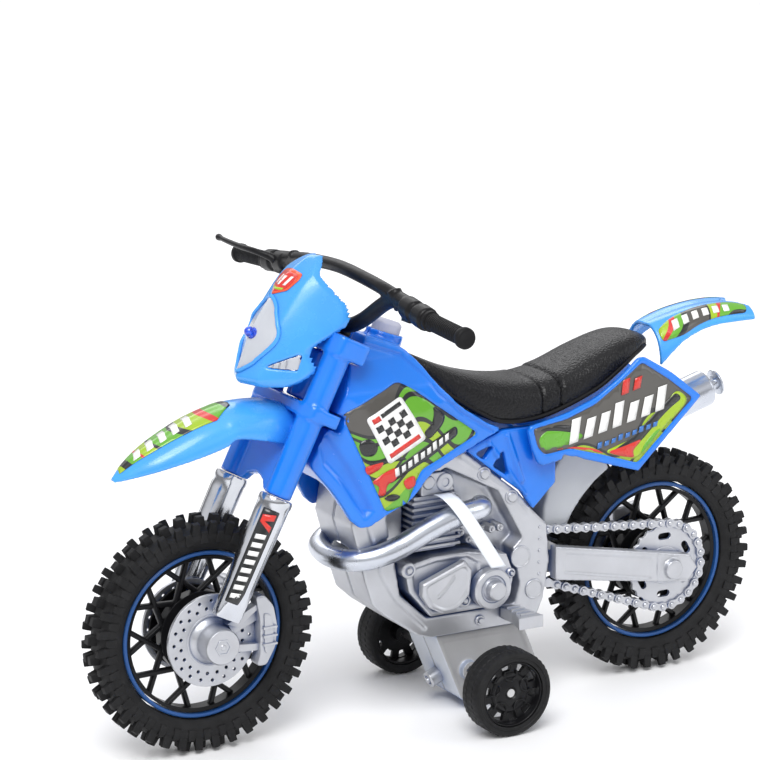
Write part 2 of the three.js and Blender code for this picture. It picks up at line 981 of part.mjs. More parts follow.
const FRAME_OUTLINE = [
  [2.6, 95.4],
  [-5.3, 96.9],
  [-27.5, 79.4],
  [-33.4, 72.1],
  [-39.6, 66],
  [-41, 52],
  [-38.4, 38],
  [-35, 30.4],
  [8, 30.4],
  [13.4, 32],
  [25.8, 40.7],
  [31.5, 45.9],
  [34.6, 55.2],
  [37.4, 67],
  [39.8, 75.4],
  [37, 91],
  [14.4, 90.8],
];

const FRAME_WINDOW = [
  [2.2, 92],
  [-19.3, 80.7],
  [-29.5, 62.1],
  [-25.6, 58.7],
  [-28.6, 44.9],
  [-26.4, 38],
  [9.8, 38],
  [20.6, 48],
  [22.6, 60],
  [26, 76],
  [24, 87],
  [11, 88],
];

const CASE_OUTLINE = [
  [19.8, 58.6],
  [8, 60.8],
  [-6, 60.6],
  [-22, 57.6],
  [-25, 50],
  [-23.6, 41.6],
  [-16, 38.8],
  [9, 38.8],
  [17.8, 49],
];

const CYLINDER_OUTLINE = [
  [15, 61.4],
  [15, 82],
  [11.6, 82.4],
  [11, 90.6],
  [1, 90.6],
  [-2.4, 83],
  [-4.6, 82],
  [-4.6, 61.4],
];

const HEADER_LINE = [
  [-12.6, 12.6, 75.6],
  [-9, 16.6, 76.2],
  [2, 18.6, 75.2],
  [12.8, 18.4, 71.6],
  [22.6, 16, 67.2],
  [30.6, 10.4, 64],
  [34.6, 0, 63.4],
  [30.6, -10.4, 64],
  [22, -16.6, 67],
  [8, -19.6, 69.5],
  [-12, -20.4, 73],
  [-34, -20.4, 78],
  [-48, -18.6, 80.5],
  [-60, -13.4, 81.8],
  [-66.8, -11.4, 83.6],
];

const headerBody = (r) => tube(HEADER_LINE, r, 8, 28);

// Grows a side outline about its middle, for the room that a piece needs.
function grown(points, by) {
  const mid = points.reduce((m, [x, z]) => [m[0] + x / points.length, m[1] + z / points.length], [0, 0]);
  return points.map(([x, z]) => {
    const away = new THREE.Vector2(x - mid[0], z - mid[1]);
    away.setLength(away.length() + by);
    return [mid[0] + away.x, mid[1] + away.y];
  });
}

const SCREW_AT = [-34.6, 47];

function frameWhole() {
  const block = plate(FRAME_OUTLINE, -FRAME_Y, FRAME_Y);
  const pockets = [-1, 1].map((way) => {
    const y = way * 6;
    return plate(FRAME_WINDOW, Math.min(y, way * 15), Math.max(y, way * 15));
  });
  const caseSpace = plate(grown(CASE_OUTLINE, 0.6), -20, 20);
  const cylinderSpace = plate(grown(CYLINDER_OUTLINE, 0.6), -20, 20);
  const [x, z] = SCREW_AT;
  const screwSpace = join(roller(x, z, 1.2 + GAP, -12, 8, 12), roller(x, z, 2.6 + GAP, -15, -11.6, 16));
  return cut(block, ...pockets, caseSpace, cylinderSpace, headerBody(PIPE_R + GAP), screwSpace);
}

function cylinderBody() {
  const block = plate(CYLINDER_OUTLINE, -12.6, 12.6);
  const cells = roller(...CELLS_AT, CELL_R + GAP, -13, 8.6, 24);
  let body = cut(block, cells);
  for (let i = 0; i < 4; i++) {
    const z = 73.6 + 2.2 * i;
    for (const y of [10.6, -14]) {
      body = body.subtract(box(-6, 17, y, y + 3.4, z, z + 1));
    }
  }
  return body;
}

function teardropBody() {
  const drop = [
    [-2.7, 58.9],
    [-5.6, 55.2],
    [-4.6, 46],
    [0.6, 41],
    [6.2, 40.4],
    [11.7, 43.4],
    [14.8, 48],
    [14.6, 52.6],
  ];
  return plate(drop, CASE_Y + GAP, COVER_Y, { bevel: 0.8 });
}

function clutchBody() {
  const [x, z] = CLUTCH_AT;
  const cover = roller(x, z, 7.6, CASE_Y + GAP, COVER_Y, 28);
  return join(cover, roller(x, z, 3.4, COVER_Y - 1, COVER_Y + 3.4, 20));
}

function rightCoverBody() {
  const cover = roller(-3, 49.6, 10.4, -COVER_Y, -CASE_Y - GAP, 30);
  return join(cover, roller(-3, 49.6, 5, -COVER_Y - 1.4, -COVER_Y + 1, 20));
}

function mufflerBody() {
  const from = new THREE.Vector3(-68.6, -11.3, 84.3);
  const end = new THREE.Vector3(-124.6, -11.2, 101.1);
  const along = end.clone().sub(from).normalize();
  const at = (d) => end.clone().addScaledVector(along, d).toArray();
  const start = -from.distanceTo(end);
  return join(
    rod(at(start), at(start + 9), PIPE_R, 20, MUFFLER_R),
    rod(at(start + 8.9), at(0), MUFFLER_R, 20),
    rod(at(-0.5), at(5), 2.7, 12),
    rod(at(4.2), at(5.6), 5, 16),
  );
}

function swingarmBody() {
  const arm = plate(
    [
      [-42.4, 57.4],
      [-100.6, 46.2],
      [-104, 41],
      [-99.6, 35.6],
      [-42.4, 44.8],
    ],
    11.8,
    16.2,
  );
  const bore = roller(-axleX, axleZ, AXLE_R + 0.1, -16.6, 16.6, 16);
  const cap = roller(-axleX, axleZ, 3.6, 15, 18.6, 20);
  const cross = box(-48.8, -42.4, -13, 13, 46.6, 55);
  return cut(join(arm, flipped(arm), cap, flipped(cap), cross), bore);
}

function chainBody() {
  const loop = [
    [-41.4, 64.2],
    [-66, 61.6],
    [-93, 58.6],
    [-103, 54],
    [-108.6, 46],
    [-108.6, 38],
    [-103, 30],
    [-92, 25.6],
    [-80, 28.4],
    [-41.6, 41.8],
    [-41.6, 44],
    [-80, 31],
    [-92, 28.6],
    [-101, 32.2],
    [-106, 39],
    [-106, 45],
    [-101, 52],
    [-93, 55.6],
    [-66, 58.8],
    [-41.4, 61.4],
  ];
  const sprocket = roller(-axleX, axleZ, 14.4, 9.8, 11.4, 24);
  let body = join(plate(loop, 9.8, 11.5), sprocket);
  body = cut(body, roller(-axleX, axleZ, AXLE_R + 0.1, 9, 12, 16));
  for (let i = 0; i < 6; i++) {
    const a = (Math.PI * (i + 0.5)) / 3;
    body = cut(body, roller(-axleX + 10 * Math.cos(a), axleZ + 10 * Math.sin(a), 1.5, 9, 12, 8));
  }
  return body;
}

function rearBrakeBody() {
  const disc = roller(-axleX, axleZ, 13, -11.3, -9.8, 24);
  const caliper = plate(
    [
      [-82, 60],
      [-94, 61.4],
      [-95, 53],
      [-83, 51],
    ],
    -11.5,
    -7.8,
  );
  const clearWheel = roller(-axleX, axleZ, FLANGE_R + 0.6, -9.6, 0, 32);
  return cut(join(disc, cut(caliper, clearWheel)), roller(-axleX, axleZ, AXLE_R + 0.1, -12, -9, 16));
}

function footpegBody() {
  return slab(
    [
      [-20, 14.3],
      [-20.6, 22],
      [-18.4, 30.4],
      [-28.6, 30.4],
      [-27, 22],
      [-25, 14.3],
    ],
    33.6,
    38,
  );
}

// ---- friction motor -------------------------------------------------------------------------------

const BOX_OUTLINE = [
  [5, 29.9],
  [-5.5, 5],
  [-8.4, 2.6],
  [-34.4, 2.6],
  [-37.6, 14],
  [-34.4, 22],
  [-31, 29.9],
];

const pitch = (teeth) => (teeth * GEAR_MODULE) / 2;
const idlerX = DRIVE_X - pitch(AXLE_TEETH) - pitch(IDLER_PINION_TEETH);
const flywheelX = idlerX - pitch(IDLER_TEETH) - pitch(FLYWHEEL_TEETH);

// A spur gear across the bike. Its first tooth, or its first gap, points along +X.
function gear(teeth, x, y0, y1, gapFirst = false) {
  const r = pitch(teeth);
  const step = (2 * Math.PI) / teeth;
  const turn = gapFirst ? step / 2 : 0;
  const flanks = [
    [-0.34, r - GEAR_MODULE * 1.1],
    [-0.11, r + GEAR_MODULE * 0.75],
    [0.11, r + GEAR_MODULE * 0.75],
    [0.34, r - GEAR_MODULE * 1.1],
  ];
  const points = [];
  for (let i = 0; i < teeth; i++) {
    for (const [share, radius] of flanks) {
      const a = turn + step * (i + share);
      points.push([x + radius * Math.cos(a), DRIVE_R + radius * Math.sin(a)]);
    }
  }
  return plate(points, y0, y1);
}

function motorBoxWhole() {
  const shell = plate(BOX_OUTLINE, -BOX_Y, BOX_Y);
  const inside = plate(
    [
      [2.5, 28.2],
      [-7.2, 5.2],
      [-9.4, 4.2],
      [-33.2, 4.2],
      [-35.9, 14.2],
      [-32.8, 21.6],
      [-30, 28.2],
    ],
    -10.2,
    10.2,
  );
  const bores = [
    roller(DRIVE_X, DRIVE_R, DRIVE_AXLE_R + GAP, -20, 20, 16),
    roller(idlerX, DRIVE_R, ARBOR_R + GAP, -20, 20, 12),
    roller(flywheelX, DRIVE_R, ARBOR_R + GAP, -20, 20, 12),
  ];
  const sleeve = roller(DRIVE_X, DRIVE_R, 3.4, -15, 15, 20);
  return cut(join(shell, sleeve), inside, ...bores);
}

function driveAxleBody() {
  const shaft = roller(DRIVE_X, DRIVE_R, DRIVE_AXLE_R, -DRIVE_Y1 + 2.4, DRIVE_Y1 - 2.4, 16);
  return join(shaft, gear(AXLE_TEETH, DRIVE_X, -9.2, -6.2));
}

function idlerBody() {
  const arbor = roller(idlerX, DRIVE_R, ARBOR_R, -11.6, 11.6, 12);
  return join(
    arbor,
    gear(IDLER_PINION_TEETH, idlerX, -9.4, -5.4, true),
    gear(IDLER_TEETH, idlerX, -5.5, -2.4),
  );
}

function flywheelBody() {
  const arbor = roller(flywheelX, DRIVE_R, ARBOR_R, -11.6, 11.6, 12);
  return join(
    arbor,
    gear(FLYWHEEL_TEETH, flywheelX, -5.4, -0.6, true),
    roller(flywheelX, DRIVE_R, FLYWHEEL_R, -0.7, 8.6, 24),
  );
}

function driveHubBody() {
  const half = [
    [0, DRIVE_Y0 + 1],
    [3.6, DRIVE_Y0 + 1],
    [4.4, DRIVE_Y0 + 4.6],
    [9.8, DRIVE_Y0 + 4.6],
    [10.4, DRIVE_Y0 + 0.8],
    [11.7, DRIVE_Y0 + 0.8],
    [11.7, DRIVE_Y1 - 0.8],
    [10.4, DRIVE_Y1 - 0.8],
    [9.8, DRIVE_Y1 - 3],
    [4, DRIVE_Y1 - 1.6],
    [0, DRIVE_Y1 - 1.4],
  ];
  const hub = turned(half, DRIVE_X, DRIVE_R, 20);
  const bore = roller(DRIVE_X, DRIVE_R, DRIVE_AXLE_R + GAP, DRIVE_Y0, DRIVE_Y1 - 2.1, 16);
  return cut(hub, bore);
}

function driveTyreBody() {
  const inner = 12;
  const profile = [
    [inner, DRIVE_Y0 + 0.6],
    [14.4, DRIVE_Y0],
    [DRIVE_R, DRIVE_Y0 + 1.2],
    [DRIVE_R, DRIVE_Y1 - 1.2],
    [14.4, DRIVE_Y1],
    [inner, DRIVE_Y1 - 0.6],
    [inner, DRIVE_Y0 + 0.6],
  ];
  return turned(profile, DRIVE_X, DRIVE_R, 28);
}

// ---- light and sound ------------------------------------------------------------------------------

function buttonBody() {
  const cap = rod([0, 0, -7], [0, 0, 5.6], BUTTON_R, 20);
  const rim = rod([0, 0, 5.5], [0, 0, 6.6], BUTTON_R, 20, BUTTON_R - 1.2);
  return aboutButton(join(cap, rim));
}

// A tact switch on its own small board, just below the button.
function switchBody() {
  const half = 3;
  const board = box(-7, 4.4, -7, 7, -13.6, -12.2);
  const housing = box(-half, half, -half, half, -12.3, -9.6);
  return aboutButton(join(board, housing, rod([0, 0, -9.7], [0, 0, -8.8], 1.5, 12)));
}

// A strip of plastic film that hangs out of the battery holder, slanting backwards as it falls.
function tabBody() {
  const fall = [
    [13.1, 83.1],
    [17, 83.6],
    [20.6, 82.6],
    [23, 79.4],
    [23.8, 74],
    [23.9, 66],
    [23.7, 55.6],
  ];
  const back = fall.map(([y, z], i) => (i < 3 ? [y, z - FILM] : [y - FILM, z])).reverse();
  const strip = outline([...fall, ...back]);
  const g = new THREE.ExtrudeGeometry(strip, { depth: TAB_WIDTH, bevelEnabled: false });
  g.rotateX(Math.PI / 2);
  g.rotateZ(Math.PI / 2);
  const slant = new THREE.Matrix4().makeShear(0, 0, 0, 0, 0.66, 0);
  g.translate(1, 0, -83);
  g.applyMatrix4(slant);
  g.translate(0, 0, 83);
  return solid(g);
}

// The pin that the fork turns on, with a washer under its lower clamp.
function pinBody() {
  const shank = rod([0, 0, -33], [0, 0, -1], STEM_R, 16);
  const washer = rod([0, 0, -34], [0, 0, LOWER_CLAMP[0] - GAP], WASHER_R, 16);
  return raked(join(shank, washer));
}

function screwBody() {
  const [x, z] = SCREW_AT;
  return join(roller(x, z, 1.2, -12.6, 7.6, 12), roller(x, z, 2.6, -13.8, -12, 16));
}

function addChassis(parent) {
  const chassis = group(parent);
  const tank = tankWhole();
  const frame = frameWhole();
  const motorBox = motorBoxWhole();
  for (const [way, side] of SIDES) {
    place(chassis, "tank_shell_" + side, halfOf(tank, way), blue);
    place(chassis, "engine_frame_" + side, halfOf(frame, way), silver);
    place(chassis, "motor_box_" + side, halfOf(motorBox, way), motorGrey);
    const panel = rearPanelBody();
    place(chassis, "rear_panel_" + side, way > 0 ? panel : flipped(panel), blue);
    const peg = footpegBody();
    place(chassis, "footpeg_" + side, way > 0 ? peg : flipped(peg), silver);
  }
  place(chassis, "seat", seatBody(), blackGrain);
  place(chassis, "tail_fender", tailBody(), paleBlue);
  place(chassis, "inner_fender", innerFenderBody(), fenderGrey);
  place(chassis, "crankcase", plate(CASE_OUTLINE, -CASE_Y, CASE_Y), silver);
  place(chassis, "cylinder", cylinderBody(), silver);
  place(chassis, "teardrop_cover", teardropBody(), silver);
  place(chassis, "clutch_cover", clutchBody(), silver);
  place(chassis, "right_cover", rightCoverBody(), silver);
  place(chassis, "exhaust_header", headerBody(PIPE_R), chrome);
  place(chassis, "muffler", mufflerBody(), chrome);
  place(chassis, "swingarm", swingarmBody(), silver);
  place(chassis, "chain_and_sprocket", chainBody(), silver);
  place(chassis, "rear_brake", rearBrakeBody(), silver);
  place(chassis, "rear_axle", roller(-axleX, axleZ, AXLE_R, -16.4, 16.4, 16), steel);
  place(chassis, "steering_pin", pinBody(), steel);
  place(chassis, "frame_screw", screwBody(), steel);
  place(chassis, "button_cells", roller(...CELLS_AT, CELL_R, -8.1, 8.1, 24), steel);
  place(chassis, "battery_door", box(-4, 14.4, -14.6, -12.9, 62.4, 81.4), silver);
  place(chassis, "battery_tab", tabBody(), filmWhite);
  place(chassis, "sound_board", box(-1.6, 28.7, -15.7, 15.7, 108, 109.6), boardGreen);
  place(chassis, "button_switch", switchBody(), boardGreen);
  place(chassis, "speaker", rod([14, 0, 102.2], [14, 0, 107.7], 7, 20, 10), blackGloss);
}

addWheel(motorcycle, "front", axleX);
addWheel(motorcycle, "rear", -axleX);
addFork(motorcycle);
addChassis(motorcycle);

const drive = group(motorcycle);
place(drive, "drive_axle", driveAxleBody(), steel);
for (const [way, side] of SIDES) {
  const hub = driveHubBody();
  const tyre = driveTyreBody();
  place(drive, "drive_hub_" + side, way > 0 ? hub : flipped(hub), blackGloss);
  place(drive, "drive_tyre_" + side, way > 0 ? tyre : flipped(tyre), rubber);
}
place(motorcycle, "idler_gear", idlerBody(), gearNylon);
place(motorcycle, "flywheel", flywheelBody(), steel);
place(motorcycle, "sound_button", buttonBody(), capGrey);

export default motorcycle;
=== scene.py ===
"""A toy motocross bike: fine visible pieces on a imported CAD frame. The builders work in millimetres."""

import json
import math
from math import cos, radians, sin, tau

import bmesh
import bpy
import numpy as np
from mathutils import Matrix, Vector
from mathutils.bvhtree import BVHTree
from mathutils.geometry import delaunay_2d_cdt


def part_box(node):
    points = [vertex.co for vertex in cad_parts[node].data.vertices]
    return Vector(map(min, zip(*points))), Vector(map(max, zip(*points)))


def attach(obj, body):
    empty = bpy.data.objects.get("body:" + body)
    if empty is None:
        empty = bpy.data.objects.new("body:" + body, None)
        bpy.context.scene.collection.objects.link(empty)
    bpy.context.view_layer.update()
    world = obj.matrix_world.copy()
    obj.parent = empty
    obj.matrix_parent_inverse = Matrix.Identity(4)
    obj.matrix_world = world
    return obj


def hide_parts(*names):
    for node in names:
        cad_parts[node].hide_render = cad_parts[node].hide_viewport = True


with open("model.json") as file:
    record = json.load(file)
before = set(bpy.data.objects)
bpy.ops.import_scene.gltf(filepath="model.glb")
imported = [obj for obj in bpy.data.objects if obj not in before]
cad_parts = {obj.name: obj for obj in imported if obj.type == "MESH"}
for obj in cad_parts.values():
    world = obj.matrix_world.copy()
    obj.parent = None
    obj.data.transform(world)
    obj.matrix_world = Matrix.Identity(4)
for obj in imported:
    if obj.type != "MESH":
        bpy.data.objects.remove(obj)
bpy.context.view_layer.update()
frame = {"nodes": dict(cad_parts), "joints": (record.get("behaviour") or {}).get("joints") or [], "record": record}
MM = 0.001
FILM_THICKNESS = 0.09
OUTSIDE = 60  # farther across the bike than any piece reaches
FACING_OUT = 0.35  # least share of a normal that points outwards on a side face
SIDES = ((1, "left"), (-1, "right"))
AHEAD, ACROSS, UP = Vector((1, 0, 0)), Vector((0, 1, 0)), Vector((0, 0, 1))


# ---- places, read from the frame ----


def middle(node):
    low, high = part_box(node)
    return (low + high) / 2 / MM


FRONT = middle("front_tyre")
REAR = middle("rear_tyre")
DRIVE = middle("drive_axle")
JOINTS = {joint["name"]: joint for joint in frame["joints"]}
STEER_AT = Vector(JOINTS["steering"]["pos_m"]) / MM
STEER_UP = Vector(JOINTS["steering"]["axis"])
STEER_AHEAD = Vector((STEER_UP.z, 0, -STEER_UP.x))
WHEEL_R = FRONT.z
DRIVE_R = DRIVE.z


def fork_point(ahead, across, up):
    """A point given ahead of the steering line, across the bike and up along the line."""
    return STEER_AT + STEER_AHEAD * ahead + Vector((0, across, 0)) + STEER_UP * up


# ---- mesh building ----


def merged(*parts):
    verts, faces = [], []
    for part_verts, part_faces in parts:
        start = len(verts)
        verts += list(part_verts)
        faces += [tuple(i + start for i in face) for face in part_faces]
    return verts, faces


def moved(part, matrix):
    return [matrix @ Vector(v) for v in part[0]], part[1]


def mirrored(part):
    return [Vector((v[0], -v[1], v[2])) for v in part[0]], [tuple(reversed(face)) for face in part[1]]


def sided(part, way):
    return part if way > 0 else mirrored(part)


def skin(rows, closed_rows=False, closed_columns=False):
    """Quads over a grid of points, given row by row."""
    verts = [point for row in rows for point in row]
    count = len(rows[0])
    faces = []
    for i in range(len(rows) - (0 if closed_rows else 1)):
        below, above = i * count, (i + 1) % len(rows) * count
        for j in range(count - (0 if closed_columns else 1)):
            k = (j + 1) % count
            faces.append((below + j, below + k, above + k, above + j))
    return verts, faces


def loft(rings):
    """A closed body through rings of points, with its two ends filled."""
    verts, faces = skin(rings, closed_columns=True)
    count = len(rings[0])
    faces.append(tuple(range(count))[::-1])
    faces.append(tuple(range(len(verts) - count, len(verts))))
    return verts, faces


def turned(profile, x, z, steps=64):
    """A lathed body about a line across the bike. Its (radius, y) profile closes on itself or the line."""
    closed = profile[0] == profile[-1]
    points = profile[:-1] if closed else profile
    verts, faces, rings = [], [], []
    for r, y in points:
        if r < 1e-6:
            rings.append([len(verts)] * steps)
            verts.append(Vector((x, y, z)))
            continue
        rings.append(list(range(len(verts), len(verts) + steps)))
        for i in range(steps):
            angle = tau * i / steps
            verts.append(Vector((x + r * cos(angle), y, z + r * sin(angle))))
    pairs = list(zip(rings, rings[1:]))
    if closed:
        pairs.append((rings[-1], rings[0]))
    for a, b in pairs:
        for i in range(steps):
            j = (i + 1) % steps
            corners = []
            for index in (a[i], a[j], b[j], b[i]):
                if index not in corners:
                    corners.append(index)
            if len(corners) > 2:
                faces.append(tuple(corners))
    return verts, faces


def prism(points, y0, y1):
    """A side outline of (x, z) points, extruded across the bike."""
    near = [Vector((x, y0, z)) for x, z in points]
    far = [Vector((x, y1, z)) for x, z in points]
    return loft([near, far])


def block(low, high, taper=0.0):
    """A box whose top face is drawn in by the taper on every side."""
    (x0, y0, z0), (x1, y1, z1) = low, high
    base = [(x0, y0, z0), (x1, y0, z0), (x1, y1, z0), (x0, y1, z0)]
    top = [(x0 + taper, y0 + taper, z1), (x1 - taper, y0 + taper, z1), (x1 - taper, y1 - taper, z1),
           (x0 + taper, y1 - taper, z1)]
    return loft([[Vector(p) for p in base], [Vector(p) for p in top]])


def arc(x, z, r, start, end, steps=8):
    """Points on an arc in the side view, angles in degrees from +X towards +Z."""
    span = [radians(start + (end - start) * i / steps) for i in range(steps + 1)]
    return [(x + r * cos(a), z + r * sin(a)) for a in span]


def circle(x, z, r, steps=32):
    return arc(x, z, r, 0, 360, steps)[:-1]


def eased(points, radius, steps=4):
    """An outline with its corners rounded."""
    count, out = len(points), []
    for i, corner in enumerate(points):
        corner = Vector(corner)
        before, after = Vector(points[i - 1]) - corner, Vector(points[(i + 1) % count]) - corner
        reach = min(radius, before.length / 2.1, after.length / 2.1)
        start, end = corner + before.normalized() * reach, corner + after.normalized() * reach
        for k in range(steps + 1):
            t = k / steps
            out.append(tuple(start * (1 - t) ** 2 + corner * (2 * t * (1 - t)) + end * t**2))
    return out


def spline(points, steps=8):
    """A smooth line through the points, with this many steps between each two."""
    points = [Vector(p) for p in points]
    line = []
    for i in range(len(points) - 1):
        a, b = points[max(i - 1, 0)], points[i]
        c, d = points[i + 1], points[min(i + 2, len(points) - 1)]
        for k in range(steps):
            t = k / steps
            line.append(0.5 * (2 * b + (c - a) * t + (2 * a - 5 * b + 4 * c - d) * t**2
                               + (3 * b - a - 3 * c + d) * t**3))
    line.append(points[-1])
    return line


def linear(values, t):
    for (t0, v0), (t1, v1) in zip(values, values[1:]):
        if t <= t1:
            return v0 + (v1 - v0) * max(0.0, (t - t0) / (t1 - t0))
    return values[-1][1]


def ring_of(centre, side, up, r, count):
    """Points on a circle about a centre, in the plane of two unit directions."""
    turns = [tau * k / count for k in range(count)]
    return [centre + side * (r * cos(a)) + up * (r * sin(a)) for a in turns]


def tube(line, radius, sides=20):
    """A round tube along a line, with a radius that may be a function of the share of its length."""
    line = [Vector(p) for p in line]
    side = None
    rings = []
    for i, point in enumerate(line):
        ahead = (line[min(i + 1, len(line) - 1)] - line[max(i - 1, 0)]).normalized()
        if side is None:
            side = ahead.orthogonal().normalized()
        side = (side - ahead * side.dot(ahead)).normalized()
        up = ahead.cross(side)
        r = radius(i / (len(line) - 1)) if callable(radius) else radius
        rings.append(ring_of(point, side, up, r, sides))
    return loft(rings)


def cutout(outline, holes, y0, y1, rounding=0.0):
    """A plate across the bike from an outline and holes, with rounded edges."""
    curve = bpy.data.curves.new("outline", "CURVE")
    curve.dimensions = "2D"
    curve.fill_mode = "BOTH"
    curve.extrude = (y1 - y0) / 2 - rounding
    curve.bevel_depth = rounding
    curve.bevel_resolution = 1
    curve.offset = -rounding
    for ring in (outline, *holes):
        path = curve.splines.new("POLY")
        path.points.add(len(ring) - 1)
        path.use_cyclic_u = True
        for point, (x, z) in zip(path.points, ring):
            point.co = (x, z, 0, 1)
    holder = bpy.data.objects.new("outline", curve)
    mesh = bpy.data.meshes.new_from_object(holder)
    middle_y = (y0 + y1) / 2
    verts = [Vector((v.co.x, middle_y - v.co.z, v.co.y)) for v in mesh.vertices]
    faces = [tuple(face.vertices) for face in mesh.polygons]
    bpy.data.objects.remove(holder)
    bpy.data.curves.remove(curve)
    bpy.data.meshes.remove(mesh)
    return verts, faces


def hexagon(x, z, r, y0, y1):
    return prism(circle(x, z, r, 6), y0, y1)


def bolt(x, z, y, r, way=1, socket=True):
    """A round bolt head that stands on a face at y."""
    top = y + 0.9 * way
    profile = [(r, y - 0.3 * way), (r, top - 0.25 * way), (r - 0.25, top)]
    if socket:
        profile += [(r * 0.55, top), (r * 0.5, top - 0.5 * way)]
    profile.append((0, profile[-1][1]))
    return turned([(0, y - 0.3 * way), *profile], x, z, 20)


def build(name, part, body, look, replaces=(), bevel=0.0, angle=38, thickness=0.0):
    """Makes one visible piece from a part in millimetres."""
    obj = piece_of(name, part, dissolve=True)
    obj.data.validate()
    finish(obj, bevel, angle, thickness)
    return dress(obj, body, look, replaces)


def dress(obj, body, look, replaces=()):
    """Gives a piece its look and body, and hides the CAD nodes that it replaces."""
    obj.data.materials.clear()
    obj.data.materials.append(look)
    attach(obj, body)
    if replaces:
        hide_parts(*replaces)
    return obj


def finish(obj, bevel, angle, thickness=0.0):
    """Smooth shading, with a wall thickness and rounded edges where asked."""
    mesh = obj.data
    mesh.shade_smooth()
    if thickness:
        wall = obj.modifiers.new("wall", "SOLIDIFY")
        wall.thickness = thickness * MM
        wall.offset = -1
        wall.use_even_offset = True
    if bevel:
        edge = obj.modifiers.new("edge", "BEVEL")
        edge.width = bevel * MM
        edge.segments = 2
        edge.limit_method = "ANGLE"
        edge.angle_limit = radians(angle)
        weighted = obj.modifiers.new("normals", "WEIGHTED_NORMAL")
        weighted.keep_sharp = False
    else:
        mesh.set_sharp_from_angle(angle=radians(angle))


def piece_of(name, part, dissolve=False):
    """A plain object made from a part in millimetres."""
    mesh = bpy.data.meshes.new(name)
    mesh.from_pydata([Vector(v) * MM for v in part[0]], [], part[1])
    cleaner = bmesh.new()
    cleaner.from_mesh(mesh)
    bmesh.ops.remove_doubles(cleaner, verts=cleaner.verts, dist=0.004 * MM)
    if dissolve:
        bmesh.ops.dissolve_degenerate(cleaner, edges=cleaner.edges, dist=0.002 * MM)
    bmesh.ops.recalc_face_normals(cleaner, faces=cleaner.faces)
    cleaner.to_mesh(mesh)
    cleaner.free()
    obj = bpy.data.objects.new(name, mesh)
    bpy.context.scene.collection.objects.link(obj)
    return obj


def settle(obj):
    """Bakes the modifiers into the mesh."""
    mesh = bpy.data.meshes.new_from_object(obj.evaluated_get(bpy.context.evaluated_depsgraph_get()))
    obj.modifiers.clear()
    obj.data = mesh


def moulded(name, source, body, look, replaces, voxel=0.6, rounds=5, cuts=(), keeps=(), thickness=0.0):
    """Fuses a part, or a copy of CAD nodes, into one smooth moulding with rounded edges."""
    if isinstance(source, str):
        source = (source,)
    if isinstance(source[0], str):
        nodes = [frame["nodes"][node].data for node in source]
        parts = [([v.co / MM for v in mesh.vertices],
                  [tuple(f.vertices) for f in mesh.polygons]) for mesh in nodes]
        source = merged(*parts)
    obj = piece_of(name, source)
    if thickness:
        wall = obj.modifiers.new("wall", "SOLIDIFY")
        wall.thickness = thickness * MM
        wall.offset = -1
    tools = []
    for kind, group in (("DIFFERENCE", cuts), ("INTERSECT", keeps)):
        for part in group:
            tools.append(piece_of("tool", part))
            carve = obj.modifiers.new("carve", "BOOLEAN")
            carve.operation = kind
            carve.object = tools[-1]
    remesh = obj.modifiers.new("remesh", "REMESH")
    remesh.mode = "VOXEL"
    remesh.voxel_size = voxel * MM
    smooth = obj.modifiers.new("smooth", "SMOOTH")
    smooth.factor = 0.5
    smooth.iterations = rounds
    settle(obj)
    for tool in tools:
        bpy.data.objects.remove(tool)
    obj.data.shade_smooth()
    return dress(obj, body, look, replaces)


def points_of(obj):
    """The mesh's points and normals in millimetres, as arrays."""
    count = len(obj.data.vertices)
    points, normals = np.empty(count * 3), np.empty(count * 3)
    obj.data.vertices.foreach_get("co", points)
    obj.data.vertices.foreach_get("normal", normals)
    return points.reshape(-1, 3) / MM, normals.reshape(-1, 3)


def move_points(obj, points):
    obj.data.vertices.foreach_set("co", (points * MM).ravel())
    obj.data.update()


def line_distance(points, line, closed=False):
    """Each side-view point's distance from a line of (x, z) points."""
    corners = np.array(line, dtype=float)
    ends = np.roll(corners, -1, axis=0) if closed else corners[1:]
    starts = corners if closed else corners[:-1]
    best = np.full(len(points), 1e9)
    for a, b in zip(starts, ends):
        along_line = b - a
        t = np.clip((points - a) @ along_line / (along_line @ along_line), 0, 1)
        best = np.minimum(best, np.linalg.norm(points - a - t[:, None] * along_line, axis=1))
    return best


def inside(points, outline):
    """Which side-view points lie inside an outline."""
    corners = np.array(outline, dtype=float)
    hit = np.zeros(len(points), dtype=bool)
    for a, b in zip(corners, np.roll(corners, -1, axis=0)):
        crosses = (a[1] > points[:, 1]) != (b[1] > points[:, 1])
        rise = b[1] - a[1] if b[1] != a[1] else 1e-9
        hit ^= crosses & (points[:, 0] < (b[0] - a[0]) * (points[:, 1] - a[1]) / rise + a[0])
    return hit


def press(obj, outline, depth, way, edge=0.8, above=0.0):
    """Sinks the outer side face inside an outline by a depth, or raises it where that is negative."""
    points, normals = points_of(obj)
    flat = points[:, [0, 2]]
    face = (normals[:, 1] * way > FACING_OUT) & (points[:, 1] * way > above) & inside(flat, outline)
    share = np.clip(line_distance(flat, outline, True) / edge, 0, 1)
    points[:, 1] -= way * depth * np.where(face, share * share * (3 - 2 * share), 0)
    move_points(obj, points)


def score(obj, line, depth, way, half=0.5, above=0.0):
    """Draws a groove along a line on the outer side face, or a raised rib where the depth is negative."""
    points, normals = points_of(obj)
    face = (normals[:, 1] * way > FACING_OUT) & (points[:, 1] * way > above)
    share = np.clip(1 - line_distance(points[:, [0, 2]], line) / half, 0, 1)
    points[:, 1] -= way * depth * np.where(face, share * share * (3 - 2 * share), 0)
    move_points(obj, points)


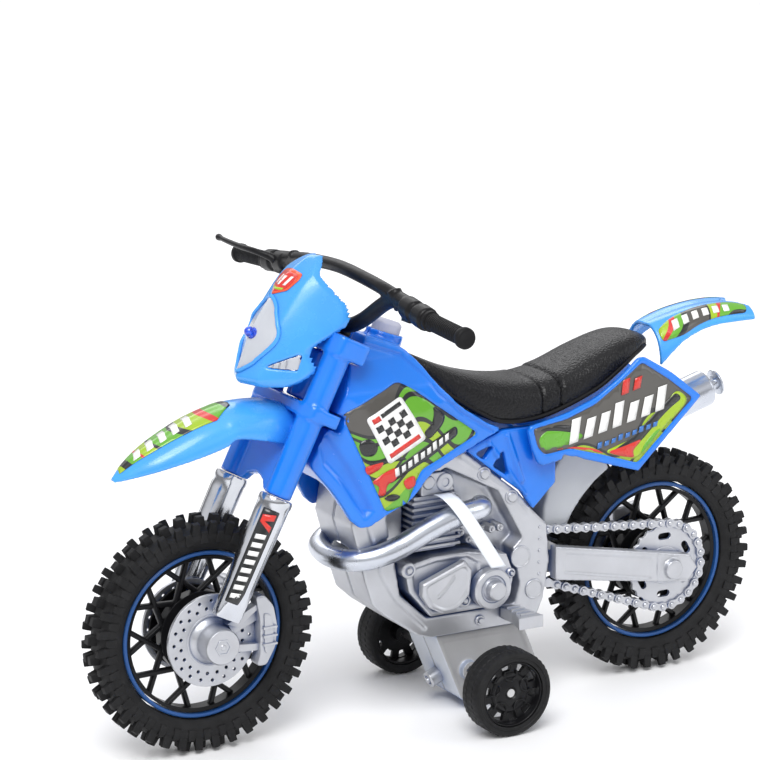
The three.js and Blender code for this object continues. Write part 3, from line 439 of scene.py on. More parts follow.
def patch(outline, step, to_surface):
    """A film cut to a 2-D outline, filled with points a step apart and laid on a surface."""
    ring = []
    for a, b in zip(outline, outline[1:] + outline[:1]):
        a, b = Vector(a), Vector(b)
        parts = max(1, round((b - a).length / step))
        ring += [a.lerp(b, k / parts) for k in range(parts)]
    low = [min(p[k] for p in ring) for k in (0, 1)]
    high = [max(p[k] for p in ring) for k in (0, 1)]
    grid = []
    for i in range(1, int((high[0] - low[0]) / step) + 1):
        for j in range(1, int((high[1] - low[1]) / step) + 1):
            grid.append((low[0] + i * step, low[1] + j * step))
    if grid:
        spots = np.array(grid)
        good = inside(spots, ring) & (line_distance(spots, ring, True) > step * 0.45)
        grid = [Vector(spot) for spot in spots[good]]
    edges = [(i, (i + 1) % len(ring)) for i in range(len(ring))]
    verts, _, faces, *_ = delaunay_2d_cdt(ring + grid, edges, [list(range(len(ring)))], 1, 1e-6)
    return [to_surface(v) for v in verts], [tuple(face) for face in faces]


def lay_on(target, way, lift=0.12):
    """A surface that is reached from outside, across the bike."""
    mesh = target.data
    tree = BVHTree.FromPolygons([v.co / MM for v in mesh.vertices],
                                [tuple(p.vertices) for p in mesh.polygons])

    def reach(point):
        spot = tree.ray_cast(Vector((point[0], way * OUTSIDE, point[1])), Vector((0, -way, 0)))[0]
        return Vector((point[0], (spot.y if spot else 0) + way * lift, point[1]))

    return reach


def sticker(name, outline, step, to_surface, body, look):
    """A printed film, given a little thickness towards the outside."""
    part = patch(outline, step, to_surface)
    mesh = bpy.data.meshes.new(name)
    mesh.from_pydata([Vector(v) * MM for v in part[0]], [], part[1])
    mesh.validate()
    obj = bpy.data.objects.new(name, mesh)
    bpy.context.scene.collection.objects.link(obj)
    wall = obj.modifiers.new("film", "SOLIDIFY")
    wall.thickness = FILM_THICKNESS * MM
    wall.offset = 0
    obj.data.shade_smooth()
    return dress(obj, body, look)


# ---- looks ----


class Graph:
    """A small helper that wires a material's nodes."""

    def __init__(self, name):
        self.material = bpy.data.materials.new(name)
        self.material.use_nodes = True
        self.nodes = self.material.node_tree.nodes
        self.links = self.material.node_tree.links
        self.shader = self.nodes["Principled BSDF"]
        self.place = self.nodes.new("ShaderNodeTexCoord").outputs["Object"]

    def add(self, kind, values=None, **settings):
        node = self.nodes.new(kind)
        for key, value in settings.items():
            setattr(node, key, value)
        for key, value in (values or {}).items():
            if isinstance(value, bpy.types.NodeSocket):
                self.links.new(value, node.inputs[key])
            else:
                node.inputs[key].default_value = value
        return node

    def noise(self, size, detail=3.0, rough=0.55):
        """Noise whose patches are about this many millimetres across."""
        values = {"Vector": self.place, "Scale": 1 / (size * MM), "Detail": detail, "Roughness": rough}
        return self.add("ShaderNodeTexNoise", values).outputs["Fac"]

    def spread(self, factor, low, high, start=0.0, end=1.0):
        """The factor, stretched from one range to another."""
        values = {"Value": factor, "From Min": start, "From Max": end, "To Min": low, "To Max": high}
        return self.add("ShaderNodeMapRange", values).outputs[0]

    def open_air(self, reach, samples=6):
        """How open a point is to its surroundings, looking this many millimetres around."""
        return self.add("ShaderNodeAmbientOcclusion", {"Distance": reach * MM}, samples=samples).outputs["AO"]

    def math(self, operation, a, b=0.0, c=0.0):
        node = self.add("ShaderNodeMath", {0: a, 1: b, 2: c}, operation=operation)
        return node.outputs[0]

    def ramp(self, factor, stops, constant=False):
        node = self.add("ShaderNodeValToRGB", {"Fac": factor})
        ramp = node.color_ramp
        ramp.interpolation = "CONSTANT" if constant else "LINEAR"
        while len(ramp.elements) < len(stops):
            ramp.elements.new(0.5)
        for element, (place, colour) in zip(ramp.elements, stops):
            element.position = place
            element.color = (*colour, 1)
        return node.outputs["Color"]

    def mix(self, factor, a, b, blend="MIX"):
        node = self.add("ShaderNodeMix", data_type="RGBA", blend_type=blend)
        sockets = {"Factor_Float": factor, "A_Color": a, "B_Color": b}
        for socket in node.inputs:
            value = sockets.get(socket.identifier)
            if isinstance(value, bpy.types.NodeSocket):
                self.links.new(value, socket)
            elif value is not None:
                socket.default_value = (*value, 1) if isinstance(value, tuple) else value
        return next(out for out in node.outputs if out.identifier == "Result_Color")

    def set(self, **values):
        for key, value in values.items():
            socket = self.shader.inputs[key.replace("_", " ")]
            if isinstance(value, bpy.types.NodeSocket):
                self.links.new(value, socket)
            else:
                socket.default_value = value

    def bump(self, heights):
        """Bumps, from pairs of a height and its depth in millimetres."""
        normal = None
        for height, depth in heights:
            values = {"Height": height, "Distance": depth * MM, "Strength": 1.0}
            if normal is not None:
                values["Normal"] = normal
            normal = self.add("ShaderNodeBump", values).outputs["Normal"]
        self.links.new(normal, self.shader.inputs["Normal"])


def shade(colour, gain):
    return tuple(min(1.0, channel * gain) for channel in colour)


def plastic(name, colour, rough=0.3, coat=0.0, swing=0.08, grain=0.02, grain_size=0.5, recess_shade_colour=None, bend=1.5):
    """Moulded plastic: faint flow marks in the colour, uneven gloss, fine surface waves, and painted shade mixed
    into the recesses where a shade colour is given.
    """
    g = Graph(name)
    flow = g.noise(22, 4)
    mottle_and_shade = g.ramp(flow, [(0.3, shade(colour, 0.93)), (0.7, shade(colour, 1.06))])
    # painted shade: the given darker colour is mixed in where the surface is enclosed, in corners and recesses
    if recess_shade_colour:
        corner = g.open_air(7)
        mottle_and_shade = g.mix(g.math("POWER", corner, 1.4), recess_shade_colour, mottle_and_shade)
    gloss = g.spread(g.noise(5, 5), rough - swing, rough + swing)
    g.set(Base_Color=mottle_and_shade, Roughness=gloss, Coat_Weight=coat, Coat_Roughness=0.12, IOR=bend)
    g.bump([(g.noise(grain_size, 4), grain), (g.noise(9, 2), grain * 3)])
    return g.material


def silver_paint(name, colour, recess, rough=0.34, metal=0.75):
    """Silver paint with painted bluish shade in the recesses, where it is also less metallic, and fine metal
    flake.
    """
    g = Graph(name)
    tone = g.ramp(g.noise(14, 4), [(0.3, shade(colour, 0.93)), (0.7, shade(colour, 1.05))])
    # painted shade: enclosed places are darkened towards the bluish recess colour and made less metallic
    open_air = g.open_air(5.5, 8)
    painted_shade = g.spread(open_air, 0.0, 1.0, 0.22, 0.72)
    base = g.mix(painted_shade, recess, tone)
    gloss = g.spread(g.noise(3, 5), rough - 0.07, rough + 0.1)
    shine = g.spread(painted_shade, 0.15, metal)
    g.set(Base_Color=base, Roughness=gloss, Metallic=shine)
    g.bump([(g.noise(0.35, 3), 0.018), (g.noise(4, 3), 0.05)])
    return g.material


def plating(name, colour, rough=0.16):
    """Bright plating over plastic, with soft waves and slight haze."""
    g = Graph(name)
    tone = g.ramp(g.noise(18, 3), [(0.3, shade(colour, 0.9)), (0.7, shade(colour, 1.06))])
    gloss = g.spread(g.noise(6, 6), rough - 0.06, rough + 0.09)
    g.set(Base_Color=tone, Roughness=gloss, Metallic=1.0)
    g.bump([(g.noise(7, 2), 0.12), (g.noise(0.6, 3), 0.008)])
    return g.material


def rubbery(name, colour, rough=0.62, grain=0.05):
    g = Graph(name)
    dust = g.noise(4, 6, 0.65)
    tone = g.ramp(dust, [(0.42, colour), (0.72, shade(colour, 1.9))])
    gloss = g.spread(g.noise(2, 5), rough - 0.14, rough + 0.1)
    g.set(Base_Color=tone, Roughness=gloss, IOR=1.32)
    g.bump([(g.noise(0.5, 5), grain), (g.noise(3, 3), grain * 2)])
    return g.material


def leather(name, colour, rough=0.3):
    """Moulded leather grain: raised pebbles, with a few light rub marks."""
    g = Graph(name)
    pebbles = g.add("ShaderNodeTexVoronoi", {"Vector": g.place, "Scale": 1 / (0.75 * MM), "Smoothness": 0.6},
                    feature="SMOOTH_F1").outputs["Distance"]
    rubs = g.noise(3.2, 8, 0.75)
    tone = g.ramp(rubs, [(0.6, colour), (0.78, shade(colour, 3.0))])
    gloss = g.spread(g.noise(1.2, 5), rough - 0.1, rough + 0.12)
    g.set(Base_Color=tone, Roughness=gloss, IOR=1.36)
    g.bump([(g.math("MULTIPLY", pebbles, -1.0), 0.22), (g.noise(0.4, 4), 0.05)])
    return g.material


def sweeps(name, pivot, bands):
    """A printed film of blades of colour round a pivot, each given as (degrees where it ends, colour)."""
    g = Graph(name)
    offset = g.add("ShaderNodeVectorMath", {0: g.place, 1: (pivot[0] * MM, 0, pivot[1] * MM)},
                   operation="SUBTRACT")
    parts = g.add("ShaderNodeSeparateXYZ", {0: offset.outputs[0]})
    reach = g.math("SQRT", g.math("ADD", g.math("POWER", parts.outputs["X"], 2.0),
                                  g.math("POWER", parts.outputs["Z"], 2.0)))
    angle = g.math("ARCTAN2", parts.outputs["Z"], parts.outputs["X"])
    waver = g.math("MULTIPLY", g.math("SINE", g.math("MULTIPLY", reach, 190.0)), 0.09)
    swept = g.math("ADD", angle, waver)
    share = g.math("WRAP", g.math("DIVIDE", swept, tau), 1.0, 0.0)
    stops, start = [], 0.0
    for end, colour in bands:
        stops.append((start, colour))
        start = end / 360
    g.set(Base_Color=g.ramp(share, stops, constant=True), Roughness=0.3, Coat_Weight=0.5, Coat_Roughness=0.15)
    g.bump([(g.noise(6, 3), 0.03), (g.noise(0.4, 3), 0.006)])
    return g.material


def film(name, colour, rough=0.28):
    return plastic(name, colour, rough=rough, coat=0.4, grain=0.008, swing=0.05)


# The last, darker colour given to the blue shells, the silver paint and the motor grey is painted shade for their
# recesses.
BLUE = plastic("blue_shell", (0.005, 0.185, 0.76), rough=0.24, coat=0.35, recess_shade_colour=(0.002, 0.09, 0.58))
PALE_BLUE = plastic("pale_blue_shell", (0.055, 0.34, 0.84), rough=0.26, coat=0.35, recess_shade_colour=(0.01, 0.2, 0.75))
SILVER = silver_paint("silver_paint", (0.53, 0.54, 0.57), (0.07, 0.12, 0.28))
CHROME = plating("bright_plating", (0.66, 0.68, 0.72))
MOTOR_GREY = plastic("motor_grey", (0.36, 0.37, 0.4), rough=0.5, recess_shade_colour=(0.2, 0.22, 0.28), grain=0.03)
BLACK = plastic("black_moulding", (0.006, 0.006, 0.007), rough=0.36, grain=0.025, bend=1.32)
TYRE = rubbery("tyre_black", (0.0085, 0.0085, 0.009))
GRIP = plastic("grip_black", (0.006, 0.006, 0.007), rough=0.5, grain=0.06, grain_size=0.7, bend=1.3)
SEAT = leather("seat_grain", (0.006, 0.006, 0.007))
RIM_BLUE = plastic("rim_blue", (0.012, 0.075, 0.26), rough=0.42, swing=0.05)
STEEL = plating("bright_steel", (0.6, 0.6, 0.6), rough=0.28)
LENS = plastic("lens_silver", (0.5, 0.52, 0.56), rough=0.2, coat=0.6, grain=0.006)
FENDER_GREY = plastic("fender_grey", (0.5, 0.52, 0.55), rough=0.4)
CAP_GREY = plastic("cap_grey", (0.42, 0.43, 0.53), rough=0.42)
NYLON = plastic("gear_nylon", (0.75, 0.73, 0.64), rough=0.45)
BOARD = plastic("board_green", (0.02, 0.16, 0.05), rough=0.4)
FILM = plastic("film_white", (0.8, 0.82, 0.83), rough=0.3, grain=0.006)


def led_look():
    g = Graph("led_blue")
    core = g.ramp(g.noise(1.2, 2), [(0.35, (0.005, 0.03, 0.42)), (0.7, (0.02, 0.12, 0.9))])
    g.set(Base_Color=core, Roughness=0.08, Coat_Weight=1.0, Coat_Roughness=0.03, IOR=1.5)
    g.bump([(g.noise(2, 2), 0.02)])
    return g.material


LED = led_look()
WHITE_INK = film("white_ink", (0.82, 0.82, 0.8))
BLACK_INK = film("black_ink", (0.012, 0.013, 0.014))
RED_INK = film("red_ink", (0.62, 0.03, 0.02))
ORANGE_INK = film("orange_ink", (0.78, 0.09, 0.03))
GREEN_INK = film("green_ink", (0.12, 0.4, 0.02))
LIME_INK = film("lime_ink", (0.34, 0.5, 0.006))

GREY_PRINT = (0.075, 0.07, 0.062)
BLACK_PRINT = (0.012, 0.013, 0.014)
GREEN_PRINT = (0.12, 0.38, 0.02)
LIME_PRINT = (0.32, 0.48, 0.006)
RED_PRINT = (0.6, 0.025, 0.02)


GUARD_PRINT = sweeps("guard_print", (70, 96), [
    (8, LIME_PRINT), (12, BLACK_PRINT), (17, GREEN_PRINT), (19.5, RED_PRINT), (24, LIME_PRINT),
    (26, BLACK_PRINT), (33, GREEN_PRINT), (36, BLACK_PRINT), (44, LIME_PRINT), (48, RED_PRINT),
    (58, GREEN_PRINT), (64, BLACK_PRINT), (90, LIME_PRINT), (360, GREY_PRINT)])

TANK_PRINT = sweeps("tank_print", (90, 96), [
    (161.5, GREY_PRINT), (162.5, BLACK_PRINT), (164, GREEN_PRINT), (165.5, BLACK_PRINT), (171, GREEN_PRINT),
    (172, BLACK_PRINT), (176, LIME_PRINT), (177.2, BLACK_PRINT), (182, GREEN_PRINT), (183, BLACK_PRINT),
    (188, LIME_PRINT), (360, GREEN_PRINT)])
PANEL_PRINT = sweeps("panel_print", (-8, 84), [
    (126, GREEN_PRINT), (128, GREY_PRINT), (130, LIME_PRINT), (132, GREY_PRINT), (168, GREY_PRINT),
    (169.5, BLACK_PRINT), (174, LIME_PRINT), (175.5, BLACK_PRINT), (180, LIME_PRINT), (360, GREEN_PRINT)])
TAIL_PRINT = sweeps("tail_print", (-84, 112), [
    (100, GREEN_PRINT), (112, LIME_PRINT), (116, RED_PRINT), (122, GREEN_PRINT), (126, BLACK_PRINT),
    (134, GREY_PRINT), (141, GREY_PRINT), (143, BLACK_PRINT), (147, LIME_PRINT), (149, RED_PRINT),
    (153, GREEN_PRINT), (155, BLACK_PRINT), (360, LIME_PRINT)])
BLUE_INK = film("blue_ink", (0.03, 0.16, 0.5))
SATIN_PLATE = plating("satin_plating", (0.6, 0.63, 0.69), 0.27)
TAB = plastic("pull_tab_film", (0.84, 0.88, 0.93), rough=0.22, coat=0.4, grain=0.004)


def motor_case_look():
    """Matt grey on the sides of the box, silver paint on its front, back and floor, with painted bluish shade in
    the silver's recesses.
    """
    g = Graph("motor_case")
    facing = g.add("ShaderNodeNewGeometry").outputs["Normal"]
    side = g.math("ABSOLUTE", g.add("ShaderNodeSeparateXYZ", {0: facing}).outputs["Y"])
    flat = g.spread(side, 0.0, 1.0, 0.55, 0.8)
    open_air = g.open_air(6)
    # painted shade: the silver darkens towards a bluish tint where the surface is enclosed
    silver = g.mix(g.math("POWER", open_air, 1.5), (0.12, 0.2, 0.42), (0.6, 0.63, 0.68))
    grey = g.ramp(g.noise(20, 3), [(0.3, (0.34, 0.34, 0.345)), (0.7, (0.4, 0.4, 0.41))])
    gloss = g.spread(g.noise(4, 5), 0.4, 0.6)
    metal = g.spread(flat, 0.5, 0.0)
    g.set(Base_Color=g.mix(flat, silver, grey), Roughness=gloss, Metallic=metal)
    g.bump([(g.noise(0.5, 4), 0.02)])
    return g.material


MOTOR_CASE = motor_case_look()

NODE_LOOKS = {
    "blue_shell": BLUE, "pale_blue_shell": PALE_BLUE, "silver_plastic": SILVER, "bright_plating": CHROME,
    "motor_grey": MOTOR_GREY, "black_gloss": BLACK, "black_grain": GRIP, "tyre_rubber": TYRE,
    "rim_blue": RIM_BLUE, "steel_rod": STEEL, "lens_silver": LENS, "led_blue": LED,
    "fender_grey": FENDER_GREY, "cap_grey": CAP_GREY, "gear_nylon": NYLON, "board_green": BOARD,
    "film_white": FILM,
}
SLOTS = {look: slot for slot, look in NODE_LOOKS.items()}
SLOTS.update({SATIN_PLATE: "bright_plating", SEAT: "black_grain", MOTOR_CASE: "motor_grey"})


def dress_cad_nodes():
    """The CAD nodes that stay get a look, rounded edges and clean shading."""
    for row in frame["record"]["subparts"]:
        obj = frame["nodes"][row["node"]]
        obj.data.materials.clear()
        obj.data.materials.append(NODE_LOOKS[row["material_slot"]])
        finish(obj, 0.25, 30)


# ---- studio ----

CAMERA_AT = Vector((525.4, 918.9, 373.2))
CAMERA_AIM = Vector((21.0, 0.0, 122.9))
CAMERA_LENS = 146.2


def add_camera():
    camera = bpy.data.objects.new("camera", bpy.data.cameras.new("camera"))
    bpy.context.scene.collection.objects.link(camera)
    camera.location = CAMERA_AT * MM
    camera.rotation_euler = (CAMERA_AIM - CAMERA_AT).to_track_quat("-Z", "Y").to_euler()
    camera.data.lens = CAMERA_LENS
    camera.data.sensor_width = 36
    camera.data.clip_start = 0.05
    bpy.context.scene.camera = camera


def add_light(name, at, aim, size, power, tint=(1, 1, 1)):
    light = bpy.data.lights.new(name, "AREA")
    light.shape = "RECTANGLE"
    light.size, light.size_y = size
    light.energy = power
    light.color = tint
    obj = bpy.data.objects.new(name, light)
    bpy.context.scene.collection.objects.link(obj)
    obj.location = at
    obj.rotation_euler = (Vector(aim) - Vector(at)).to_track_quat("-Z", "Y").to_euler()


def add_studio():
    part = ([Vector((-4000, -4000, 0)), Vector((4000, -4000, 0)), Vector((4000, 4000, 0)),
             Vector((-4000, 4000, 0))], [(0, 1, 2, 3)])
    mesh = bpy.data.meshes.new("floor")
    mesh.from_pydata([v * MM for v in part[0]], [], part[1])
    floor = bpy.data.objects.new("floor", mesh)
    bpy.context.scene.collection.objects.link(floor)
    g = Graph("floor_white")
    g.set(Base_Color=g.ramp(g.noise(300, 2), [(0.4, (0.9, 0.9, 0.905)), (0.6, (0.92, 0.92, 0.925))]),
          Roughness=0.6)
    mesh.materials.append(g.material)
    world = bpy.data.worlds.new("studio")
    bpy.context.scene.world = world
    world.use_nodes = True
    tree = world.node_tree
    rise = tree.nodes.new("ShaderNodeSeparateXYZ")
    tree.links.new(tree.nodes.new("ShaderNodeTexCoord").outputs["Generated"], rise.inputs[0])
    sky = tree.nodes.new("ShaderNodeValToRGB")
    tree.links.new(rise.outputs["Z"], sky.inputs[0])
    sky.color_ramp.elements[0].position = 0.0
    sky.color_ramp.elements[1].position = 1.0
    for place, level in ((0.0, 0.22), (0.14, 0.3), (0.3, 0.85), (0.55, 0.95), (0.62, 0.5), (0.8, 0.6),
                         (1.0, 1.1)):
        elements = sky.color_ramp.elements
        stop = elements[0] if place == 0 else elements[-1] if place == 1 else elements.new(place)
        stop.color = (level, level, level * 1.02, 1)
    tree.links.new(sky.outputs[0], tree.nodes["Background"].inputs["Color"])
    tree.nodes["Background"].inputs["Strength"].default_value = 0.95
    sun = bpy.data.lights.new("daylight", "SUN")
    sun.energy = 1.9
    sun.angle = radians(35)
    lamp = bpy.data.objects.new("daylight", sun)
    bpy.context.scene.collection.objects.link(lamp)
    lamp.rotation_euler = Vector((-0.45, -0.6, -1.1)).to_track_quat("-Z", "Y").to_euler()
    add_light("key", (0.9, 1.1, 1.3), (0, 0, 0.08), (0.7, 0.7), 5)
    add_light("fill", (-1.2, 0.9, 0.7), (0, 0, 0.08), (0.5, 1.0), 3, (0.95, 0.97, 1))
    add_light("rim", (-0.3, -1.2, 1.0), (0, 0, 0.1), (1.2, 0.5), 4)
    bpy.context.scene.view_settings.view_transform = "Standard"


# ---- wheels ----

BLOCK_ROWS = 38
CARCASS_R = 39.0


def tread_block(angle, y0, y1, r0, r1, half, lean=0.0):
    """One tread block, from y0 to y1 across the tyre, round the wheel by the angle."""
    part = block((-half, y0, r0), (half, y1, r1), 0.35)
    tilt = Matrix.Translation((0, (y0 + y1) / 2, r0)) @ Matrix.Rotation(lean, 4, "X")
    part = moved(part, tilt @ Matrix.Translation((0, -(y0 + y1) / 2, -r0)))
    return moved(part, Matrix.Rotation(angle, 4, "Y"))


def tyre(side, centre):
    carcass = [(30.3, 4.2), (32, 5.6), (35, 6.5), (37.4, 5.9), (38.7, 3.4), (CARCASS_R, 0)]
    profile = [*carcass, *[(r, -y) for r, y in reversed(carcass[:-1])], carcass[0]]
    parts = [turned(profile, 0, 0, 96)]
    step = tau / BLOCK_ROWS
    for i in range(BLOCK_ROWS):
        angle = i * step
        if i % 2:
            parts.append(tread_block(angle, -2.0, 2.0, 38.2, WHEEL_R - 0.1, 1.75))
        else:
            parts.append(tread_block(angle, -3.6, -0.5, 38.2, WHEEL_R - 0.1, 1.75))
            parts.append(tread_block(angle, 0.5, 3.6, 38.2, WHEEL_R - 0.1, 1.75))
        for way in (-1, 1):
            near, far = sorted((way * 3.9, way * 6.3))
            parts.append(tread_block(angle + step / 2, near, far, 36.6, 41.0, 1.6, -way * 0.32))
            near, far = sorted((way * 5.4, way * 6.7))
            parts.append(tread_block(angle, near, far, 33.4, 37.4, 1.5, -way * 0.1))
    part = moved(merged(*parts), Matrix.Translation(centre))
    build(f"{side}_knobbly_tyre", part, f"{side}_wheel", TYRE, (f"{side}_tyre",), bevel=0.22)


def rim(side, centre):
    lip = [(28.4, 3.9), (29.2, 4.15), (29.8, 3.7), (29.8, 1.2), (29.0, 0)]
    outer = [*lip, *[(r, -y) for r, y in reversed(lip[:-1])]]
    profile = [*outer, (28.4, -3.9), (28.4, 3.9)]
    part = turned(profile, centre.x, centre.z, 128)
    build(f"{side}_rim_ring", part, f"{side}_wheel", RIM_BLUE, (f"{side}_rim",), bevel=0.15)


SPOKE_PAIRS = 10


def spokes():
    """Crossing spokes: each pair starts wide on the rim, crosses, and ends apart on the hub."""
    bars = []
    for i in range(SPOKE_PAIRS):
        middle_angle = tau * i / SPOKE_PAIRS
        for way in (-1, 1):
            rim_angle = middle_angle + way * radians(9.7)
            hub_angle = middle_angle - way * radians(19)
            outer = Vector((27.4 * cos(rim_angle), way * 0.25, 27.4 * sin(rim_angle)))
            inner = Vector((14.2 * cos(hub_angle), way * 0.25, 14.2 * sin(hub_angle)))
            direction = (outer - inner).normalized()
            width = Vector((-direction.z, 0, direction.x)) * 0.95
            depth = Vector((0, 1.2, 0))
            ring = [width * 0.55 + depth, width + depth * 0.5, width - depth * 0.5, width * 0.55 - depth]
            ring += [-corner for corner in ring]
            bars.append(loft([[inner + corner for corner in ring], [outer + corner for corner in ring]]))
    return merged(*bars)


def spoked_wheel(side, centre):
    band = turned([(26.6, 2.6), (27.9, 3.1), (27.9, -3.1), (26.6, -2.6), (26.6, 2.6)], 0, 0, 96)
    core = [(0, 9.1), (5.6, 9.1), (6.3, 8.6), (8.5, 6.2), (8.5, 3), (12, 2.4), (15, 2.1)]
    hub = turned([*core, *[(r, -y) for r, y in reversed(core)]], 0, 0, 64)
    parts = [band, hub, spokes()]
    holes = [circle(12.6 * cos(a), 12.6 * sin(a), 0.95, 12) for a in (tau * k / 16 for k in range(16))]
    flange = cutout(circle(0, 0, 14.9, 72), [*holes, circle(0, 0, 8.0, 32)], 7.4, 8.8, 0.2)
    parts += [flange, mirrored(flange)]
    part = moved(merged(*parts), Matrix.Translation((centre.x, 0, centre.z)))
    name = f"{side}_spoked_wheel"
    build(f"{side}_spokes_and_hub", part, f"{side}_wheel", BLACK, (name,), bevel=0.12)


# ---- fork ----

LEG_AHEAD = 4
LEG_ACROSS = 17
LEG_TOP, LEG_BOTTOM = -59.8, -104.5
DISC_R = 16.4
DISC_Y = (9.7, 11.1)
HUB_TOP = 20.1


def front_brake(side, way):
    """Perforated disc, stepped boss with a hex socket, and a ribbed caliper on two arms, as one moulding."""
    holes = []
    for ring, radius in enumerate((14.2, 11.7)):
        for k in range(20):
            angle = tau * (k + ring / 2) / 20
            holes.append(circle(radius * cos(angle), radius * sin(angle), 0.62, 10))
    parts = [cutout(circle(0, 0, DISC_R, 96), [*holes, circle(0, 0, 8.4, 48)], *DISC_Y, 0.15)]
    dish = [(0, 9.9), (8.6, 9.9), (9.4, 10.3), (9.4, 11.25), (8.8, 11.25), (8.2, 10.7), (7.4, 11.2),
            (6.6, 12.4)]
    crown = [(6.4, 13), (6.4, 19.4), (5.9, HUB_TOP), (0, HUB_TOP)]
    parts.append(turned([*dish, *crown], 0, 0, 64))
    parts.append(cutout(circle(0, 0, 3.1, 6), [circle(0, 0, 2.4, 6)], HUB_TOP - 0.2, HUB_TOP + 0.25, 0.08))
    parts.append(turned([(0, HUB_TOP - 0.1), (1.2, HUB_TOP - 0.1), (0.9, HUB_TOP + 0.2),
                         (0, HUB_TOP + 0.2)], 0, 0, 20))
    caliper = [(-14.6, 14.6), (-18, 14.8), (-21.6, 10.4), (-23, 3), (-22.2, -4.2), (-18.6, -10.6)]
    caliper = eased([*caliper, (-14.8, -10.4), (-16.2, -6), (-16.2, 6)], 1.4)
    parts.append(cutout(caliper, [], DISC_Y[0], 15.6, 0.6))
    face = [(-17.6, 8.4), (-20, 7.6), (-21.2, 2.4), (-20.6, -4), (-18.4, -6.4), (-17.6, -5)]
    parts.append(cutout(eased(face, 0.8), [], 15.3, 16.3, 0.3))
    for z in (-2.9, 0.1, 3.1):
        parts.append(prism([(-17, z - 0.45), (-22.2, z - 0.2), (-22.2, z + 0.5), (-17, z + 0.45)], 15.6,
                           16.9))
    upper = [(-4, 6), (-17.4, 12.4), (-17.4, 10.9), (-8.6, 4.4)]
    gusset = [(-5.6, 4.8), (-17, 10.9), (-17, 5.4), (-7.4, 1.6)]
    lower = [(-4.5, -1.8), (-17.4, -3), (-17.4, -5.4), (-4.5, -4.4)]
    parts += [prism(upper, 10.8, 14.6), prism(gusset, 10.8, 12.6), prism(lower, 10.8, 13.8)]
    parts.append(prism([(-16.6, 8), (-17.8, 8), (-17.8, -5), (-16.6, -5)], 10.8, 15))
    part = sided(moved(merged(*parts), Matrix.Translation((FRONT.x, 0, FRONT.z))), way)
    node = f"front_brake_{side}"
    build(f"brake_disc_and_caliper_{side}", part, "fork", SILVER, (node,), bevel=0.14)


def leg_point(up, angle, way, r):
    """A point on a fork leg, at an angle from straight outwards towards the front."""
    across = max(-5.3, r * cos(angle))
    thin = linear([(LEG_BOTTOM, 2.2), (-94, 5.6), (-90, 9)], up)
    return fork_point(LEG_AHEAD + r * sin(angle), way * (LEG_ACROSS + min(across, thin)), up)


def fork_leg(side, way):
    stations = [(-59.8, 5.2), (-60.0, 5.75), (-60.6, 6.0), (-62.2, 6.0), (-62.8, 5.75), (-66, 5.75),
                (-80, 5.6), (-90, 5.45), (-93, 5.4), (-96, 5.35), (-99, 5.3), (-102, 5.3), (-104, 5.2),
                (-104.5, 4.9)]
    rings = []
    for up, r in stations:
        rings.append([leg_point(up, tau * k / 48, way, r) for k in range(48)])
    hollow = [leg_point(-59.9, tau * k / 48, way, 4.9) for k in range(48)]
    part = loft([hollow, *rings])
    node = f"fork_leg_{side}"
    build(f"fork_slider_{side}", part, "fork", CHROME, (node,), angle=40)
    strip_films(side, way)


def strip_films(side, way):
    """The film strip on a fork leg: a black strip, a red wedge and slanted pale bars."""

    def on_leg(lift):
        return lambda p: leg_point(p[1], radians(p[0] * 10), way,
                                   linear([(-99, 5.3), (-80, 5.6), (-66, 5.75)], p[1]) + lift)

    strip = eased([(-0.1, -64.2), (5.9, -64.2), (5.9, -98.6), (-0.1, -98.6)], 0.5)
    sticker(f"leg_strip_{side}", strip, 1.0, on_leg(0.1), "fork", BLACK_INK)
    wedge = [(0.7, -65.4), (5.1, -66.6), (5.1, -69.2), (0.7, -71.8), (0.7, -69.8), (3.6, -68.6), (0.7, -67.6)]
    sticker(f"leg_wedge_{side}", wedge, 0.8, on_leg(0.2), "fork", RED_INK)
    for k in range(8):
        top = -72.8 - 3.1 * k
        bar = [(1.2, top), (4.7, top - 0.8), (4.7, top - 2.5), (1.2, top - 1.7)]
        sticker(f"leg_bar_{side}_{k + 1}", bar, 0.8, on_leg(0.2), "fork", WHITE_INK)


CREST = [(124, 100.3), (116, 106.8), (104, 113.6), (92, 118.8), (79, 121.8), (66, 121.6), (58, 119.2)]
GUARD_HALF = [(58, 11.4), (66, 12.2), (84, 13), (98, 12.4), (110, 9.8), (119, 5), (122.6, 2), (124, 0.7)]
GUARD_EDGE = [(58, 106), (66, 108.4), (81.7, 111.8), (88, 109.2), (109.6, 103.6), (124, 99.2)]


def curve_at(line, x):
    """The height of a smooth line at x."""
    for (x0, z0), (x1, z1) in zip(line, line[1:]):
        if min(x0, x1) <= x <= max(x0, x1):
            return z0 + (z1 - z0) * (x - x0) / (x1 - x0)
    return line[-1][1] if abs(x - line[-1][0]) < abs(x - line[0][0]) else line[0][1]


def smooth_line(points, steps=10):
    return [tuple(p) for p in spline([Vector(p) for p in points], steps)]


CREST_LINE = smooth_line(CREST)
GUARD_HALF_LINE = smooth_line(GUARD_HALF)
GUARD_EDGE_LINE = smooth_line(GUARD_EDGE)


def arch(crest, half, edge, x, t, lift=0.0, power=2.3):
    """A point on a sheet that arches over a line: t runs from -1 on the right edge to 1 on the left."""
    drop = curve_at(crest, x) - curve_at(edge, x)
    fall = 1 - max(0.0, 1 - abs(t) ** power) ** (1 / power)
    width = curve_at(half, x)
    return Vector((x, (width + lift) * t, curve_at(crest, x) - drop * fall + lift * (1 - abs(t) ** 3)))


def guard_point(x, t, lift=0.0):
    ridge = 0.5 * max(0.0, 1 - abs(t) / 0.16) * min(1.0, max(0.0, (x - 76) / 8))
    point = arch(CREST_LINE, GUARD_HALF_LINE, GUARD_EDGE_LINE, x, t, lift)
    return point + Vector((0, 0, ridge))


